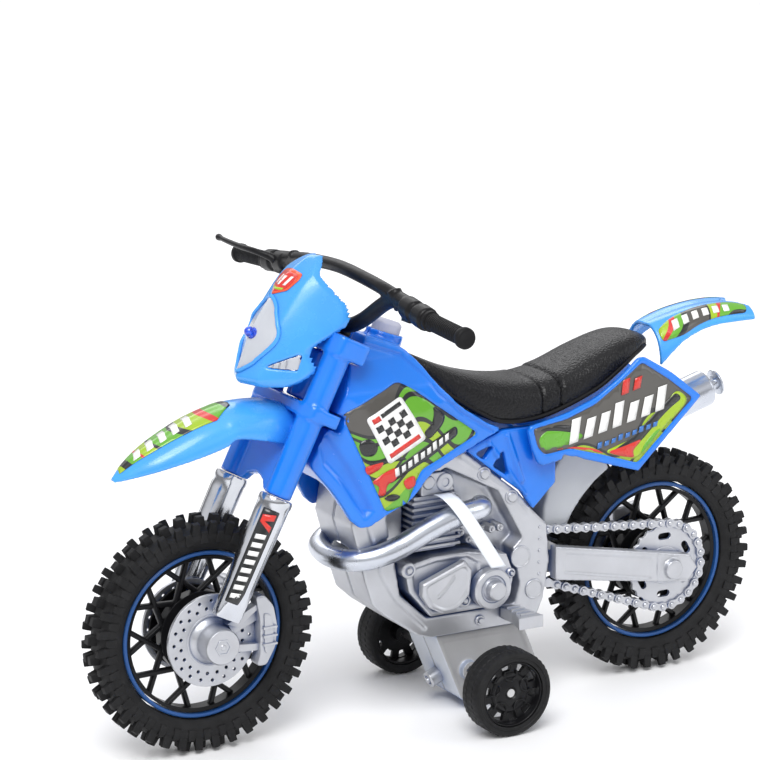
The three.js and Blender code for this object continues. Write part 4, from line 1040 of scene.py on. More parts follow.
def mudguard():
    rows = []
    for i in range(67):
        x = 58.4 + (123.6 - 58.4) * i / 66
        rows.append([guard_point(x, sin(math.pi / 2 * (-1 + 2 * j / 40))) for j in range(41)])
    moulded("front_guard", skin(rows), "fork", PALE_BLUE, ("front_mudguard",),
            voxel=0.5, rounds=3, thickness=1.7)
    outline = eased([(120.6, -0.62), (121.6, 0.5), (104, 0.55), (88, 0.62), (80.4, 0.2), (80.4, -0.45),
                     (98, -0.66)], 0.3)
    scaled = [(x / 10, t) for x, t in outline]
    sticker("guard_film", scaled, 0.09, lambda p: guard_point(p[0] * 10, p[1], 0.16), "fork", GUARD_PRINT)
    for k in range(5):
        x = 94 + 4.6 * k
        bar = [(x / 10, -0.3), ((x + 2.4) / 10, -0.3), ((x + 4.2) / 10, 0.36), ((x + 1.8) / 10, 0.36)]
        sticker(f"guard_bar_{k + 1}", bar, 0.09, lambda p: guard_point(p[0] * 10, p[1], 0.3), "fork",
                WHITE_INK)


# ---- headlight mask ----

MASK_CREST = smooth_line([(129, 77.5), (135, 75.4), (145.7, 70.9), (155, 64.9), (163, 58.4),
                          (168.8, 50.6), (170.2, 47)])
MASK_HALF = smooth_line([(127.9, 12.8), (130, 15.4), (133.5, 16.7), (137, 15.8), (140.6, 15.3),
                         (145, 17.2), (149, 18.3), (155, 16.8), (162, 12.4), (167.4, 7), (170.2, 2.2)])


def mask_point(y, z, lift=0.0):
    """A point on the mask's face, a blunt wedge that leans back as it rises."""
    chin = 0.25 * max(0.0, 131 - z) ** 2
    back = 0.38 * abs(y) + 0.56 * max(0.0, abs(y) - 8.8) ** 1.5
    return Vector((curve_at(MASK_CREST, max(z, 128.2)) - back - chin + lift, y, z))


LENS_HALF = smooth_line([(156.8, 0), (154.8, 3.2), (150, 8), (145.6, 10), (141, 9), (136.6, 5.2),
                         (133, 0)], 6)
VENT = [(14.6, 139.2), (14.9, 133.8), (9.6, 135)]


def lens_outline(grow=0.0):
    left = [(y + (grow if y > 0 else 0), z + (grow if z > 150 else -grow) * (0 if 137 < z < 153 else 1))
            for z, y in LENS_HALF]
    return left + [(-y, z) for y, z in reversed(left[1:-1])]


def front_prism(outline, x0, x1):
    """An outline of (y, z) points, extruded forward."""
    return loft([[Vector((x0, y, z)) for y, z in outline], [Vector((x1, y, z)) for y, z in outline]])


def slab(rows, by):
    """A sheet with a wall: its rows, the same rows moved by a vector, and the rim between them."""
    front, back = skin(rows), skin([[p + by for p in row] for row in rows])
    count, wide, tall = len(front[0]), len(rows[0]), len(rows)
    rim_line = list(range(wide)) + [i * wide + wide - 1 for i in range(1, tall)]
    rim_line += [(tall - 1) * wide + j for j in range(wide - 2, -1, -1)]
    rim_line += [i * wide for i in range(tall - 2, 0, -1)]
    faces = list(front[1]) + [tuple(i + count for i in face) for face in back[1]]
    faces += [(a, b, b + count, a + count) for a, b in zip(rim_line, rim_line[1:] + rim_line[:1])]
    return list(front[0]) + list(back[0]), faces


def mask():
    rows = []
    for i in range(85):
        z = 128 + (170 - 128) * i / 84
        half = curve_at(MASK_HALF, z)
        rows.append([mask_point(half * (-1 + 2 * j / 56), z) for j in range(57)])
    sheet = slab(rows, Vector((-3.2, 0, 0)))
    window = front_prism(lens_outline(0.35), 40, 95)
    vents = [front_prism(sided_outline(VENT, way, 0.3), 40, 95) for way in (1, -1)]
    moulded("headlight_cowl", sheet, "fork", PALE_BLUE, ("headlight_mask",),
            voxel=0.42, rounds=4, cuts=(window, *vents))
    lens_rows = []
    for row in rows:
        lens_rows.append([p + Vector((-0.3 + 0.9 * max(0.0, 1 - abs(p.y) / 0.9), 0, 0)) for p in row])
    moulded("headlight_glass", slab(lens_rows, Vector((-1.6, 0, 0))), "fork", LENS,
            ("headlight_lens",),
            voxel=0.36, rounds=2, keeps=(front_prism(lens_outline(0.0), 40, 95),))
    edge = [mask_point(y, z, 0.15) for y, z in lens_outline(0.5)]
    build("lens_edge", tube([*edge, edge[0]], 0.75, 12), "fork", PALE_BLUE, ())
    for way, side in SIDES:
        inner = front_prism(sided_outline(VENT, way, 0.0), 40, 95)
        vent_rows = [[p + Vector((-0.8, 0, 0)) for p in row] for row in rows]
        moulded(f"cowl_vent_{side}", slab(vent_rows, Vector((-0.9, 0, 0))), "fork", LENS, (),
                voxel=0.3, rounds=1, keeps=(inner,))
        for k in range(3):
            share = 0.3 + 0.2 * k
            low = Vector(VENT[1]).lerp(Vector(VENT[2]), share)
            high = Vector(VENT[0]).lerp(Vector(VENT[2]), share)
            low, high = low.lerp(high, 0.14), low.lerp(high, 0.86)
            line = [mask_point(way * p[0], p[1], -0.55) for p in (low, low.lerp(high, 0.5), high)]
            build(f"vent_slat_{side}_{k + 1}", tube(line, 0.28, 8), "fork", SILVER)
    shield = eased([(-6.8, 163.2), (-6, 164.9), (0, 166), (6, 164.9), (6.8, 163.2), (5.2, 159.6),
                    (0, 157.8), (-5.2, 159.6)], 0.8)
    badge("shield_edge", shield, ORANGE_INK, 0.16)
    inner = [(y * 0.84, 162 + (z - 162) * 0.8) for y, z in shield]
    badge("shield_field", inner, RED_INK, 0.26)
    for k in range(3):
        y = -3.6 + 2.8 * k
        badge(f"shield_bar_{k + 1}", [(y, 161), (y + 1.2, 161), (y + 2, 163.8), (y + 0.8, 163.8)],
              WHITE_INK, 0.38)
    badge("shield_base", [(-3, 159.5), (3, 159.5), (3.3, 160.2), (-3.3, 160.2)], LIME_INK, 0.38)


def badge(name, outline, look, lift):
    sticker(name, outline, 0.8, lambda p: mask_point(p[0], p[1], lift + 0.1), "fork", look)


def sided_outline(outline, way, grow):
    """The outline on one side, grown about its middle."""
    mid = [sum(p[k] for p in outline) / len(outline) for k in (0, 1)]
    out = []
    for p in outline:
        away = Vector((p[0] - mid[0], p[1] - mid[1]))
        away.length += grow
        out.append((way * (mid[0] + away.x), mid[1] + away.y))
    return out


def led():
    """A domed lamp on a short collar, aimed along the CAD lamp's own line."""
    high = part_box("headlight_led")[1]
    tip = Vector(((high.x / MM) - 1.7, 0, (high.z / MM) - 2.2))
    aim = Vector((11.2, 0, 5.9)).normalized()
    line = [tip - aim * 5, tip - aim * 2.4, tip - aim * 2.3, tip - aim * 1.2, tip - aim * 1.1]
    radii = [1.5, 1.5, 2.2, 2.2, 1.85]
    for k in range(9):
        angle = radians(90 * k / 8)
        line.append(tip + aim * (1.85 * sin(angle) - 0.5))
        radii.append(max(0.02, 1.85 * cos(angle)))
    rings = [ring_of(point, ACROSS, ACROSS.cross(aim), r, 28) for point, r in zip(line, radii)]
    build("headlight_lamp", loft(rings), "fork", LED, ("headlight_led",), angle=50)


# ---- handlebar ----


def bar_line():
    reach = [(34.7, 58, 156.9), (34.6, 46, 158.4), (34.6, 37, 159.4), (35.4, 30, 157.4), (37.6, 19, 150),
             (39, 12, 146.8), (39.4, 6, 146.6)]
    return [*reach, (39.4, 0, 146.6), *[(x, -y, z) for x, y, z in reversed(reach)]]


def handlebar():
    parts = [tube(spline(bar_line(), 6), 2.7, 24)]
    cross = [(34.7, 50, 158.8), (35, 38, 160.6), (36, 28, 162.6), (36.5, 12, 164.2), (36.5, 0, 164.7)]
    cross += [(x, -y, z) for x, y, z in reversed(cross[:-1])]
    parts.append(tube(spline(cross, 8), lambda t: 2.35 + 0.75 * abs(2 * t - 1) ** 4, 24))
    for way in (1, -1):
        root, tip = Vector((34.6, way * 43, 158.8)), Vector((34.8, way * 58.4, 156.8))
        steps = [(0, 2.7), (0.04, 3.9), (0.42, 3.9), (0.46, 3.2), (0.56, 3.2), (0.6, 4.1), (0.96, 4.1),
                 (1, 3.2)]
        line = [root.lerp(tip, k / 40) for k in range(41)]
        parts.append(tube(line, lambda t: linear(steps, t), 28))
        lug = block((33, 44, 154.2), (37.4, 50, 158), 0.4)
        parts.append(sided(lug, way))
        stop = Vector((34.8, way * 40, 157.4))
        parts.append(tube([stop, stop + Vector((0.6, -way * 4, 5.4))], 2.5, 20))
    corners = ((-3.2, 8.4), (5.4, 8.4), (5.4, -8.4), (-3.2, -8.4))
    foot = [fork_point(ahead, across, -0.2) for ahead, across in corners]
    top = [fork_point(ahead * 0.85 + 0.2, across * 0.92, 4.6) for ahead, across in corners]
    parts.append(loft([foot, top]))
    moulded("handlebar_and_brace", merged(*parts), "fork", BLACK, ("handlebar",),
            voxel=0.45, rounds=4)


def grip(side, way):
    def spot(y):
        return Vector((34.8 - 0.008 * (y - 58), way * y, 156.8 - 0.061 * (y - 58)))

    stations = [(58.6, 2.7), (58.8, 3.5), (60.2, 3.5), (60.5, 2.8)]
    y = 60.9
    while y < 79.6:
        stations += [(y, 2.72), (y + 0.16, 3.0), (y + 0.5, 3.0), (y + 0.66, 2.72)]
        y += 1.02
    stations += [(80.1, 2.8), (80.4, 3.45), (80.9, 3.62), (82.2, 3.62), (82.8, 3.3), (83, 2.6)]
    stations.append((82.6, 1.9))
    rings = [ring_of(spot(y), AHEAD, UP, r, 36) for y, r in stations]
    build(f"ribbed_grip_{side}", loft(rings), "fork", GRIP, (f"grip_{side}",), angle=50)


def lever():
    line = spline([(37.4, -48, 158.6), (38.9, -49.4, 160), (42.6, -54, 161.6), (44.2, -62, 162),
                   (44.4, -72, 162.2), (44, -81.4, 162.4)], 8)
    part = tube(line, lambda t: linear([(0, 1.7), (0.2, 1.5), (0.35, 1.15), (0.9, 0.95), (0.95, 1.3),
                                        (0.99, 1.3), (1, 0.7)], t), 16)
    moulded("front_brake_lever", part, "fork", BLACK, ("brake_lever",), voxel=0.28, rounds=3)


def front_end():
    moulded("fork_crown_and_tubes", "fork_upper", "fork", BLUE, ("fork_upper",),
            voxel=0.55, rounds=5)
    for way, side in SIDES:
        front_brake(side, way)
        fork_leg(side, way)
        grip(side, way)
    mudguard()
    mask()
    led()
    handlebar()
    lever()


def casting(name, source, replaces, **settings):
    """A moulding of the chassis in silver paint."""
    return moulded(name, source, "chassis", SILVER, replaces, **settings)


def fitting(name, part, replaces, bevel):
    """A small silver piece of the chassis."""
    return build(name, part, "chassis", SILVER, replaces, bevel=bevel)


# ---- body shells ----

TANK_FILM = [(45.6, 117.2), (23.6, 126.2), (18.7, 123.6), (9.4, 116.6), (-8.2, 104.2), (5.4, 98.6),
             (15.7, 94.6), (18.8, 88.8), (21.2, 82.9), (30, 81.2), (37.4, 98.4)]
TANK_CHANNEL = [(52.4, 115.6), (41.6, 98), (33.4, 82.2), (37.6, 78.4), (41.4, 83.6), (46.4, 92),
                (52.6, 99.6), (54, 106)]
PLATE = [(37.2, 115), (23.2, 121.5), (13.7, 105.5), (28.5, 98)]
PANEL_FILM = [(-29.6, 103.4), (-31.6, 96.6), (-34.4, 93.6), (-45, 94.6), (-58, 90.8), (-73.8, 85.6),
              (-97.2, 107), (-86.8, 115), (-75, 122.6), (-65.2, 115.6), (-55.4, 109.4), (-43.6, 105.4)]
PANEL_TRIM = [(-42, 92.6), (-74.4, 82.4), (-100.1, 106.2), (-114, 119), (-114, 66), (-42, 66)]


def shrunk(outline, by):
    """The outline drawn in on all sides."""
    points = [Vector(p) for p in outline]
    area = sum(a.x * b.y - b.x * a.y for a, b in zip(points, points[1:] + points[:1]))
    way = 1 if area > 0 else -1
    out = []
    for i, p in enumerate(points):
        a, b = (p - points[i - 1]).normalized(), (points[(i + 1) % len(points)] - p).normalized()
        inward = Vector((-(a + b).y, (a + b).x)).normalized() * way
        lean = max(0.4, inward.dot(Vector((-a.y, a.x)) * way))
        out.append(tuple(p + inward * (by / lean)))
    return out


def between(a, b, c, d, u, v):
    """A point of a four-cornered sheet."""
    low, high = Vector(a).lerp(Vector(b), u), Vector(d).lerp(Vector(c), u)
    return tuple(low.lerp(high, v))


def tank(side, way):
    node = f"tank_shell_{side}"
    shell = moulded(f"tank_cover_{side}", node, "chassis", BLUE, (node,), voxel=0.55, rounds=9)
    press(shell, TANK_CHANNEL, 1.5, way, 2.6, 8)
    press(shell, eased(shrunk(TANK_FILM, -0.4), 2), 0.55, way, 0.5, 12)
    score(shell, [(34, 139.6), (19.6, 134.2), (13, 127.6), (8, 120.6), (-2, 112), (-15, 103.8)], 0.6,
          way, 0.8, 8)
    surface = lay_on(shell, way)
    film = eased(TANK_FILM, 2)
    sticker(f"tank_film_{side}", film, 1.6, surface, "chassis", TANK_PRINT)
    ink(f"tank_swoosh_{side}", [
        (BLACK_INK, [(11, 117), (5.6, 112.8), (6.8, 109.4), (12.6, 104.8), (15, 107.4), (11.4, 110.6),
                     (10.6, 113.4)]),
        (BLACK_INK, [(40, 106.6), (36, 108.4), (32.4, 105), (34, 101.6), (38.6, 101.8)]),
        (BLACK_INK, [(29, 90.6), (27.6, 95.4), (14, 102.8), (1, 108.4), (0.2, 105), (12, 98.6)]),
        (BLACK_INK, [(39.6, 100.8), (33, 99.8), (27, 101.4), (20, 98.8), (28, 99), (34, 97.6)]),
        (RED_INK, [(38.2, 98), (30.4, 99.4), (31.8, 97), (36.6, 94.8)]),
        (RED_INK, [(35.6, 92.2), (30.4, 95.6), (24.6, 97), (25.6, 92), (29.6, 91.2), (29.8, 87.2),
                   (33.2, 87.4), (32, 90.8)]),
        (RED_INK, [(23.4, 91.6), (18.2, 93.2), (18, 89.2), (21.4, 87.8)]),
        (BLACK_INK, [(31.4, 86.4), (27, 87.6), (23.4, 86), (27.4, 84.4)]),
    ], surface, way)
    lift = lay_on(shell, way, 0.32)
    sticker(f"race_plate_{side}", eased(PLATE, 1.4), 1.6, lift, "chassis", WHITE_INK)
    upper = lay_on(shell, way, 0.42)
    checks(side, upper)
    bars(f"tank_bar_{side}", (26, 93.2), (3.4, 104.4), 9, 2.7, WHITE_INK, lay_on(shell, way, 0.46))


def checks(side, surface):
    """A checked field with a dark band above and below it, on the race plate."""
    a, b, c, d = PLATE
    for row in range(4):
        for column in range(5):
            if (row + column) % 2:
                continue
            u0, u1 = 0.1 + 0.16 * column, 0.1 + 0.16 * (column + 1)
            v0, v1 = 0.24 + 0.13 * row, 0.24 + 0.13 * (row + 1)
            square = [between(a, b, c, d, u, v) for u, v in ((u0, v0), (u1, v0), (u1, v1), (u0, v1))]
            sticker(f"plate_check_{side}_{row}{column}", square, 2.0, surface, "chassis", BLACK_INK)
    for name, look, u0, u1, v0, v1 in (("top", RED_INK, 0.1, 0.3, 0.07, 0.17),
                                       ("line", BLACK_INK, 0.34, 0.9, 0.07, 0.15),
                                       ("foot", RED_INK, 0.1, 0.9, 0.83, 0.92)):
        band = [between(a, b, c, d, u, v) for u, v in ((u0, v0), (u1, v0), (u1, v1), (u0, v1))]
        sticker(f"plate_{name}_{side}", band, 2.0, surface, "chassis", look)


def ink(name, shapes, surface, way):
    """Printed shapes that lie on a film, with smooth outlines."""
    for k, (look, outline) in enumerate(shapes):

        def raised(p, lift=0.1 + 0.03 * k):
            return surface(p) + Vector((0, way * lift, 0))

        sticker(f"{name}_{k + 1}", eased(outline, 3.5, 5), 1.4, raised, "chassis", look)


def bars(name, start, end, count, height, look, surface, slant=0.35):
    """A row of slanted bars where the toy has lettering."""
    start, end = Vector(start), Vector(end)
    step = (end - start) / count
    up = Vector((-step.y, step.x)).normalized()
    up = (up if up.y > 0 else -up) * height
    lean = step.normalized() * -height * slant
    for k in range(count):
        low = start + step * k
        tall = up * (0.86 + 0.14 * cos(2.1 * k))
        bar = [low, low + step * 0.62, low + step * 0.62 + tall - lean, low + tall - lean]
        sticker(f"{name}_{k + 1}", [tuple(p) for p in bar], 1.6, surface, "chassis", look)


def rear_panel(side, way):
    node = f"rear_panel_{side}"
    shell = moulded(f"side_panel_{side}", node, "chassis", BLUE, (node,), voxel=0.5, rounds=4,
                    cuts=(sided(prism(PANEL_TRIM, 8, 40), way),))
    press(shell, eased(shrunk(PANEL_FILM, -0.3), 1.5), 0.5, way, 0.5, 18)
    score(shell, [(-14, 99.4), (-29, 78.6)], -1.0, way, 1.3, 12)
    score(shell, [(-21.6, 101), (-27.8, 84)], -1.1, way, 1.4, 12)
    surface = lay_on(shell, way)
    sticker(f"panel_film_{side}", eased(PANEL_FILM, 1.6), 2.2, surface, "chassis", PANEL_PRINT)
    ink(f"panel_swoosh_{side}", [
        (GREEN_INK, [(-31.6, 100), (-33.4, 94.8), (-44, 95.8), (-52, 98.4), (-45, 101.2), (-37, 103)]),
        (BLACK_INK, [(-31, 102.6), (-40, 104), (-50, 101.6), (-46, 100.2), (-40, 101.6)]),
        (RED_INK, [(-37, 94.6), (-46, 95.2), (-56, 93), (-60, 90.6), (-54, 92.4), (-45, 94.8)]),
        (LIME_INK, [(-59, 91.4), (-73.4, 86.6), (-96, 106.6), (-90, 111.4), (-84, 103.6), (-72, 95)]),
        (BLACK_INK, [(-62, 90.8), (-74, 92.4), (-86, 103.4), (-92.6, 107.4), (-90, 110), (-82, 104),
                     (-72, 95.6)]),
        (RED_INK, [(-60, 91.2), (-67, 88.8), (-72.6, 87.6), (-71.6, 90.4), (-76.4, 94.6), (-68, 92.4)]),
        (GREEN_INK, [(-75, 88.4), (-79.4, 92.4), (-84, 97.4), (-81, 96.4), (-76.4, 92)]),
    ], surface, way)
    over = lay_on(shell, way, 0.46)
    bars(f"panel_bar_{side}", (-44.5, 95.9), (-87, 104.8), 7, 8.6, WHITE_INK, over)
    bars(f"panel_dash_{side}", (-56.4, 92.8), (-83, 98.6), 9, 2.1, BLUE_INK, over)
    bars(f"panel_mark_{side}", (-66.4, 111.4), (-76.2, 113.8), 2, 5.2, RED_INK, over)


SEAT_TOP = smooth_line([(11.4, 132.4), (-3, 125.8), (-15.3, 121.9), (-26, 119.8), (-36, 119.2),
                        (-49, 121.4), (-61.3, 126), (-72, 129.4), (-79, 130.4), (-85, 129.2), (-87.8, 126.4)])
SEAT_BASE = smooth_line([(11.4, 129.6), (7.8, 125), (-1.4, 116), (-14.4, 107.6), (-20.6, 105.4),
                         (-29, 105), (-40, 106.6), (-58, 112.6), (-70, 118.8), (-78, 123.2), (-87.8, 125.6)])
SEAT_HALF = smooth_line([(11.4, 4.2), (6, 8), (-4, 12), (-16, 15), (-30, 16.3), (-52, 16.3), (-66, 15),
                         (-78, 12), (-85, 7.4), (-87.8, 3.4)])


def seat_ring(x, inset=0.0):
    """The seat's section at x: a rounded top on a flatter, narrower base."""
    top, base, half = curve_at(SEAT_TOP, x), curve_at(SEAT_BASE, x), curve_at(SEAT_HALF, x)
    ring = []
    for k in range(64):
        angle = tau * k / 64
        up, out = sin(angle), cos(angle)
        if up > 0:
            bulge = 0.62
            z = base + (top - base - inset) * (0.34 + 0.66 * up**0.72)
        else:
            bulge = 0.4
            z = base + (top - base) * 0.34 * (1 - abs(up) ** 0.3)
        ring.append(Vector((x, (half - inset) * math.copysign(abs(out) ** bulge, out), z)))
    return ring


def seat():
    """One pad with a raised band between two grooves and a rolled edge."""
    rings = []
    for i in range(133):
        x = 11.2 + (-87.6 - 11.2) * i / 132
        groove = sum(math.exp(-(((x - at) / 0.55) ** 2)) for at in (-36.4, -44.4))
        band = 0.35 if -44.4 < x < -36.4 else 0.0
        rings.append(seat_ring(x, 0.15 + 0.95 * groove + band))
    edge = []
    for way in (1, -1):
        line = []
        for i in range(41):
            x = 9 + (-84 - 9) * i / 40
            line.append(Vector((x, way * (curve_at(SEAT_HALF, x) - 0.3), curve_at(SEAT_BASE, x) + 0.9)))
        edge.append(tube(line, 0.85, 12))
    build("saddle", loft(rings), "chassis", SEAT, ("seat",), angle=60)
    build("saddle_edge", merged(*edge), "chassis", BLACK, angle=60)


TAIL_CREST = smooth_line([(-84, 131.4), (-94, 134.4), (-106, 137), (-118, 137.8), (-131, 136.8)])
TAIL_HALF = smooth_line([(-84, 12.2), (-96, 12.6), (-106, 11.5), (-118, 11.6), (-131, 12)])
TAIL_EDGE = smooth_line([(-84, 116), (-88.4, 118), (-93.5, 122.6), (-100, 126.8), (-113, 130.4), (-131, 131)])


def tail_point(x, t, lift=0.0):
    point = arch(TAIL_CREST, TAIL_HALF, TAIL_EDGE, x, t, lift, 2.0)
    return point - Vector((0, 0, 0.9 * max(0.0, 1 - abs(t) / 0.4)))


def tail():
    rows = []
    for i in range(45):
        rows.append([])
        for j in range(41):
            t = sin(math.pi / 2 * (-1 + 2 * j / 40))
            end = -123 - 7.4 * min(1.0, (abs(t) / 0.62) ** 1.5)
            rows[-1].append(tail_point(-88.6 + (end + 88.6) * i / 44, t))
    moulded("rear_guard", skin(rows), "chassis", PALE_BLUE, ("tail_fender",),
            voxel=0.5, rounds=3, thickness=1.6)
    leaf = [(-9.0, 0.86), (-8.96, 0.62), (-9.6, 0.47), (-10.8, 0.42), (-12.4, 0.44), (-12.86, 0.62),
            (-12.7, 0.9), (-11.2, 0.93), (-9.8, 0.97)]
    for way, side in SIDES:
        film = [(x, way * t) for x, t in eased(leaf, 0.3)]
        sticker(f"tail_film_{side}", film, 0.11, lambda p: tail_point(p[0] * 10, p[1], 0.14), "chassis",
                TAIL_PRINT)
        for k in range(6):
            x = -9.5 - 0.45 * k
            bar = [(x, way * 0.82), (x - 0.26, way * 0.82), (x - 0.34, way * 0.58), (x - 0.08, way * 0.58)]
            sticker(f"tail_bar_{side}_{k + 1}", bar, 0.11, lambda p: tail_point(p[0] * 10, p[1], 0.26),
                    "chassis", WHITE_INK)


def fuel_cap():
    moulded("fuel_cap_button", "sound_button", "button", CAP_GREY, ("sound_button",),
            voxel=0.4, rounds=5)


# ---- engine and frame ----


def engine(side, way):
    node = f"engine_frame_{side}"
    cradle = casting(f"engine_cradle_{side}", node, (node,), voxel=0.6, rounds=4)
    score(cradle, [(34.5, 88), (33, 74), (28, 56), (22, 46), (10.6, 34.4)], 0.6, way, 0.9, 10)
    score(cradle, [(-31.4, 70.4), (-23.6, 79.6), (-3, 94.6)], -0.5, way, 0.7, 10)
    parts = []
    for x, z in ((-13.2, 87.9), (-24.7, 77.9)):
        parts.append(turned([(2.7, 13.8), (2.7, 14.3), (2.3, 14.5), (1.9, 14.3), (1.6, 15), (0, 15.1),
                             (0, 13.8), (2.7, 13.8)], x, z, 28))
    for x, z, r in ((-28.7, 55.1, 4.1), (-34.4, 42.3, 3.7)):
        parts.append(turned([(r, 13.7), (r, 14.4), (r - 0.35, 14.6), (r - 0.8, 14.2), (0, 14.3),
                             (0, 13.7), (r, 13.7)], x, z, 40))
    for k in range(5):
        parts.append(turned([(0.7, 13.8), (0.55, 14.35), (0, 14.45), (0, 13.8), (0.7, 13.8)],
                            -36.6, 47.5 + 4.4 * k, 12))
    parts += [bolt(-11.8, 34, 14, 1.9), hexagon(-11.8, 34, 1.0, 14, 15.6), bolt(35, 84.5, 13.8, 1.8),
              bolt(30.5, 78, 13.8, 1.6)]
    part = sided(merged(*parts), way)
    fitting(f"frame_bolts_{side}", part, (), bevel=0.1)


def crankcase():
    case = casting("crank_housing", "crankcase", ("crankcase",), voxel=0.5, rounds=5)
    for way in (1, -1):
        press(case, [(17, 57.4), (7, 59.2), (-6, 59.2), (-11, 56), (-11, 41), (8, 40.4), (15.8, 49.6)],
              0.7, way, 0.8, 12)
    parts = []
    for x, z, r in ((18.4, 57.4, 2.9), (-4.3, 43, 2.6), (-23.4, 50.4, 1.8)):
        ring = [(r, 12), (r, 16.2), (r - 0.4, 16.7), (r * 0.62, 16.7), (r * 0.55, 16.2),
                (r * 0.4, 16.3), (r * 0.36, 17.3)]
        parts.append(turned([(0, 12), *ring, (0, 17.4)], x, z, 32))
    for x, z in ((-8.6, 63.8), (-5.4, 66.8), (-21.6, 66.4), (-18.2, 66.2)):
        parts.append(turned([(0, 4), (1.6, 4), (1.6, 11.2), (1.2, 11.8), (0.7, 11.8), (0.6, 12.6),
                             (0, 12.6)], x, z, 20))
    parts.append(tube([(-23, 8, 66.4), (-14, 8, 66.2)], 1.1, 14))
    parts.append(tube(spline([(-8.6, 9, 64), (-13, 9.6, 60), (-16, 9, 56)], 8), 1.3, 14))
    fitting("case_bosses", merged(*parts), (), bevel=0.1)


def covers():
    casting("left_cover", "teardrop_cover", ("teardrop_cover",), voxel=0.4, rounds=5)
    drop = [(-2.4, 57.4), (-4.4, 54.4), (-3.4, 46.8), (1, 42.4), (6, 41.8), (10.9, 44.4), (13.4, 48.6),
            (13.4, 51.8)]
    cover = bpy.data.objects["left_cover"]
    press(cover, eased(drop, 2.5), 0.5, 1, 0.7, 17)
    score(cover, [(8.2, 47), (5, 49.6), (1.8, 53.4)], -0.5, 1, 0.6, 17)
    x, z = -14.2, 46.6
    dial = [(0, 15.9), (7.5, 15.9), (7.5, 19.3), (7, 19.9), (5.1, 19.9), (4.8, 19.4), (4.1, 19.4),
            (3.9, 19.9), (3.6, 20.2), (3.4, 22.9), (2.9, 23.35), (0, 23.35)]
    fitting("clutch_dial", turned(dial, x, z, 72), ("clutch_cover",), bevel=0.12)
    casting("right_engine_cover", "right_cover", ("right_cover",), voxel=0.45, rounds=4)


def cylinder():
    """Barrel, cooling fins and a stepped head with round caps."""
    parts = [prism([(13.6, 62), (13.6, 82), (-3.2, 82), (-3.2, 62)], -11.4, 11.4)]
    for k in range(8):
        z = 63 + 2.35 * k
        low, high = (-4.6, -12.6, z), (15, 12.6, z + 1.05)
        parts.append(block(low, high, 0.12))
    parts.append(cutout(eased([(11.4, 82), (11, 90.4), (1, 90.4), (-2.4, 83)], 1.2), [], -12.4, 12.4, 0.5))
    parts.append(turned([(0, 8), (3.6, 8), (3.6, 12.3), (3.1, 12.9), (1.6, 12.9), (1.5, 12.2),
                         (0, 12.2)], 1.8, 86.4, 32))
    parts.append(turned([(0, 8), (2.5, 8), (2.5, 12.8), (2, 13.3), (0, 13.3)], 8.4, 87, 28))
    fitting("barrel_and_head", merged(*parts), ("cylinder",), bevel=0.2)


def exhaust():
    near = [(-12.6, 12.6, 75.6), (-9, 16.8, 76.2), (2, 18.6, 75.2), (12.8, 18.6, 71.6), (23, 18.2, 67.2),
            (32, 16.8, 64.4), (39, 12, 62.9), (41.6, 4, 62.4)]
    far = [(41.6, -4, 62.4), (39, -12, 62.9), (31, -18, 64.6), (18, -19.8, 67.4), (2, -20.2, 70.4),
           (-14, -20.4, 73.4), (-34, -20.4, 78), (-48, -18.6, 80.5), (-60, -13.4, 81.8),
           (-66.8, -11.4, 83.6)]
    part = tube(spline([*near, *far], 12), lambda t: 4.2 - 0.7 * t, 36)
    build("header_pipe", part, "chassis", SATIN_PLATE, ("exhaust_header",), bevel=0,
          angle=60)
    start, end = Vector((-68.6, -11.3, 84.3)), Vector((-124.6, -11.2, 101.1))
    aim = (end - start).normalized()
    reach = (end - start).length
    steps = [(0, 3.4), (1, 3.6), (8.4, 6.7), (9.4, 6.9), (10.6, 6.9), (10.9, 6.6), (11.6, 6.6),
             (11.9, 6.9), (reach - 1, 6.9), (reach - 0.2, 6.6), (reach, 5.6), (reach, 2.7),
             (reach + 4.1, 2.7), (reach + 4.2, 4.4), (reach + 4.5, 5), (reach + 5.1, 5),
             (reach + 5.5, 4.4), (reach + 5.6, 2), (reach + 4.9, 1.6), (reach + 4.8, 0.05)]
    rings = [ring_of(start + aim * d, ACROSS, aim.cross(ACROSS), r, 56) for d, r in steps]
    build("silencer", loft(rings), "chassis", SATIN_PLATE, ("muffler",), bevel=0.12,
          angle=40)


# ---- rear end ----

CHAIN_R = 16.0
LINKS = 38


def chain_path():
    """Points on the chain's line, from the top run round the sprocket to the lower run."""
    hub = Vector((REAR.x, REAR.z))
    line = []
    ends = [Vector((-41.4, 62.8)), Vector((-41.6, 42.9))]
    tangents = []
    for end, way in zip(ends, (1, -1)):
        away = end - hub
        tangents.append(math.atan2(away.y, away.x) + way * math.acos(CHAIN_R / away.length))
    first = hub + CHAIN_R * Vector((cos(tangents[0]), sin(tangents[0])))
    last = hub + CHAIN_R * Vector((cos(tangents[1]), sin(tangents[1])))
    line += [ends[0].lerp(first, k / 100) for k in range(100)]
    sweep = tangents[1] + tau - tangents[0]
    for k in range(120):
        a = tangents[0] + sweep * k / 120
        line.append(hub + CHAIN_R * Vector((cos(a), sin(a))))
    line += [last.lerp(ends[1], k / 100) for k in range(101)]
    return line


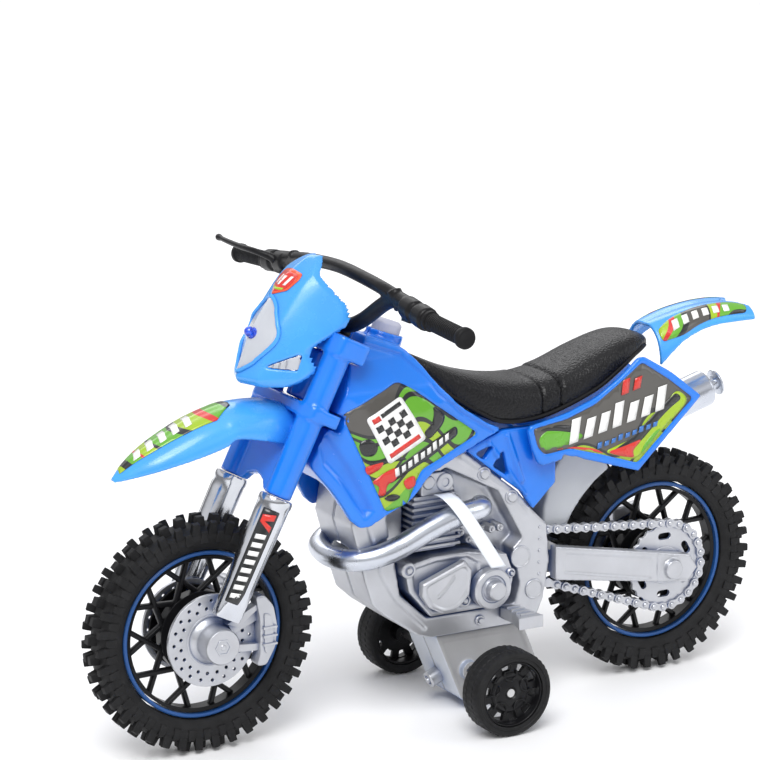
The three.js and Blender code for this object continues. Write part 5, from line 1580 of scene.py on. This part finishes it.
def chain():
    """Alternate outer and inner links on pins, and the slotted sprocket."""
    line = chain_path()
    lengths = [0.0]
    for a, b in zip(line, line[1:]):
        lengths.append(lengths[-1] + (b - a).length)

    def spot(distance):
        for i in range(1, len(line)):
            if lengths[i] >= distance:
                share = (distance - lengths[i - 1]) / (lengths[i] - lengths[i - 1])
                return line[i - 1].lerp(line[i], share)
        return line[-1]

    pitch = lengths[-1] / LINKS
    pins = [spot(pitch * k) for k in range(LINKS + 1)]
    parts = []
    for k, (a, b) in enumerate(zip(pins, pins[1:])):
        ahead = (b - a).normalized()
        side = Vector((-ahead.y, ahead.x))
        outline = []
        for centre, way in ((a, -1), (b, 1)):
            for step in range(7):
                angle = radians(-90 + 30 * step) * way
                turn = ahead * cos(angle) * way + side * sin(angle)
                outline.append(centre + turn * 1.75)
        waist = [(a + b) / 2 + side * 1.1, (a + b) / 2 - side * 1.1]
        ring = outline[7:] + [waist[0]] + outline[:7] + [waist[1]]
        ring = [tuple(p) for p in ring]
        height = 12.1 if k % 2 else 11.5
        parts.append(prism(ring, 9.9, height))
        parts.append(turned([(0, 9.9), (1.0, 9.9), (1.0, 12.5), (0.7, 12.8), (0, 12.8)], a.x, a.y, 14))
    fitting("drive_chain", merged(*parts), ("chain_and_sprocket",), bevel=0.08)
    slots = []
    for k in range(6):
        angle = tau * (k + 0.5) / 6
        out = Vector((cos(angle), sin(angle)))
        along_rim = Vector((-sin(angle), cos(angle)))
        centre = out * 11
        ring = []
        for way in (1, -1):
            for step in range(7):
                a = radians(-90 + 30 * step)
                ring.append(centre + along_rim * (way * (1.5 + 1.25 * cos(a)))
                            + out * (1.25 * sin(a) * way))
        slots.append([tuple(p) for p in ring])
    teeth = []
    for k in range(96):
        a = tau * k / 96
        r = 14.9 + (0.45 if k % 4 < 2 else -0.2)
        teeth.append((r * cos(a), r * sin(a)))
    disc = merged(cutout(teeth, [*slots], 9.8, 11.2, 0.12),
                  turned([(0, 9.9), (7.2, 9.9), (7.2, 11.3), (6.8, 11.6), (0, 11.6)], 0, 0, 48))
    part = moved(disc, Matrix.Translation((REAR.x, 0, REAR.z)))
    fitting("rear_sprocket", part, (), bevel=0.1)


def rear_end():
    arm = casting("swing_arm", "swingarm", ("swingarm",), voxel=0.5, rounds=4)
    for way in (1, -1):
        press(arm, [(-46, 54.6), (-84, 47.4), (-84, 39), (-46, 47)], 0.45, way, 0.5, 13)
        score(arm, [(-86.6, 36.8), (-86.6, 48.6)], 0.5, way, 0.5, 13)
        score(arm, [(-86.6, 37), (-100, 36.4)], -0.4, way, 0.5, 13)
    for way, side in SIDES:
        nut = turned([(0, 13), (2.7, 13), (2.7, 15.9), (2.4, 16.2), (1.6, 16.2), (1.5, 15.9),
                      (1.1, 15.9), (1, 16.5), (0, 16.5)], REAR.x, REAR.z, 36)
        fitting(f"rear_axle_nut_{side}", sided(nut, way), (), bevel=0.1)
        casting(f"foot_peg_{side}", f"footpeg_{side}", (f"footpeg_{side}",), voxel=0.4, rounds=3)
        teeth = []
        for k in range(4):
            y = 17.6 + 3.2 * k
            teeth.append(block((-26.4, y, 37.6), (-20.4, y + 1.2, 38.7), 0.25))
        fitting(f"peg_teeth_{side}", sided(merged(*teeth), way), (), bevel=0.1)
    chain()
    casting("right_disc_and_caliper", "rear_brake", ("rear_brake",), voxel=0.4, rounds=2)
    moulded("wheel_arch", "inner_fender", "chassis", FENDER_GREY, ("inner_fender",),
            voxel=0.6, rounds=6)


# ---- motor box and drive wheels ----


def motor_box(side, way):
    node = f"motor_box_{side}"
    box = moulded(f"motor_case_{side}", node, "chassis", MOTOR_CASE, (node,), voxel=0.55,
                  rounds=3)
    press(box, [(2.6, 27.6), (-6, 6.6), (-9, 4.6), (-33.2, 4.6), (-35.8, 14), (-32.6, 21.8),
                (-30, 27.6)], 0.5, way, 0.7, 9)
    if way > 0:
        centre, aim = Vector((-1.2, 0, 10.4)), Vector((0.92, 0, -0.39)).normalized()
        steps = [(-2, 3.1), (2.2, 3.1), (2.7, 2.7), (2.7, 1.9), (1.9, 1.7), (1.9, 1.2), (3.3, 1.1),
                 (3.4, 0.05)]
        rings = [ring_of(centre + aim * d, ACROSS, aim.cross(ACROSS), r, 36) for d, r in steps]
        fitting("motor_screw_boss", loft(rings), (), bevel=0.1)


def drive_wheel(side, way):
    y0, y1 = 33.3, 44.2
    rows = []
    steps = 168
    profile = [(12, y0 + 0.6), (14.2, y0 + 0.1), (15.0, y0 + 0.5), (15.3, y0 + 1.4), (15.3, y0 + 3.4),
               (15.1, y0 + 3.7), (15.3, y0 + 4), (15.3, y1 - 4), (15.1, y1 - 3.7), (15.3, y1 - 3.4),
               (15.3, y1 - 1.4), (15.0, y1 - 0.5), (14.2, y1 - 0.1), (13.4, y1 - 0.15), (13.2, y1 - 0.45),
               (12, y1 - 0.6)]
    for i in range(steps):
        a = tau * i / steps
        row = []
        for k, (r, y) in enumerate(profile):
            rib = 0.2 if (i + (2 if 6 <= k <= 7 else 0)) % 4 < 2 and 3 <= k <= 10 else 0.0
            row.append(Vector((DRIVE.x + (r + rib) * cos(a), y, DRIVE_R + (r + rib) * sin(a))))
        rows.append(row)
    tyre_part = skin(rows, closed_rows=True, closed_columns=True)
    build(f"ribbed_tyre_{side}", sided(tyre_part, way), "drive", TYRE,
          (f"drive_tyre_{side}",), angle=30)
    windows = []
    for k in range(10):
        middle_angle = 360 * k / 10 + 9
        wide = 8.5 if k % 2 else 11
        low, high = middle_angle - wide, middle_angle + wide
        ring = arc(0, 0, 10.6, low, high, 3) + arc(0, 0, 8.0, high - 2, low + 2, 3)
        windows.append(eased(ring, 0.4, 2))
    web = cutout(circle(0, 0, 11.8, 80), windows, y1 - 5.2, y1 - 3.4, 0.25)
    ring = turned([(10.9, y0 + 0.9), (11.8, y0 + 0.9), (11.8, y1 - 1), (11.3, y1 - 0.8),
                   (10.9, y1 - 1.4), (10.9, y0 + 0.9)], 0, 0, 80)
    centre = [(0, y0 + 1.2), (3.6, y0 + 1.2), (3.6, y1 - 5), (7.4, y1 - 4.4), (7.4, y1 - 3.2),
              (6.6, y1 - 2.6), (5.4, y1 - 3.2), (3.6, y1 - 2.6), (2.4, y1 - 2.2), (2, y1 - 2.8),
              (0, y1 - 2.8)]
    parts = [web, ring, turned(centre, 0, 0, 56)]
    for k in range(5):
        a = tau * (k + 0.25) / 5
        loop = []
        for step in range(13):
            b = radians(-110 + 220 * step / 12)
            loop.append((7.1 - 2.7 * cos(b), 2.5 * sin(b)))
        line = [Vector((u * cos(a) - v * sin(a), y1 - 2.9, u * sin(a) + v * cos(a)))
                for u, v in loop]
        parts.append(tube(line, 0.42, 10))
    part = moved(merged(*parts), Matrix.Translation((DRIVE.x, 0, DRIVE_R)))
    build(f"ribbed_hub_{side}", sided(part, way), "drive", BLACK, (f"drive_hub_{side}",),
          bevel=0.1)


def pull_tab():
    """The clear white film strip that hangs out of the battery holder."""
    fall = smooth_line([(13.3, 82.8), (17, 83.3), (20.4, 82.4), (22.9, 79.2), (23.6, 74), (23.7, 66),
                        (23.5, 55.8)], 8)
    rows = []
    for y, z in fall:
        slant = 0.66 * (z - 83)
        rows.append([Vector((1 + slant + k, y + 0.1 * cos(math.pi * (k - 3) / 6), z)) for k in range(7)])
    build("pull_tab", skin(rows), "chassis", TAB, ("battery_tab",), thickness=0.35, angle=60)


def chassis_end():
    for way, side in SIDES:
        tank(side, way)
        rear_panel(side, way)
        engine(side, way)
        motor_box(side, way)
        drive_wheel(side, way)
    seat()
    tail()
    fuel_cap()
    crankcase()
    covers()
    cylinder()
    exhaust()
    rear_end()
    pull_tab()


for wheel_side, wheel_centre in (("front", FRONT), ("rear", REAR)):
    tyre(wheel_side, wheel_centre)
    rim(wheel_side, wheel_centre)
    spoked_wheel(wheel_side, wheel_centre)
front_end()
chassis_end()

dress_cad_nodes()
add_camera()
add_studio()
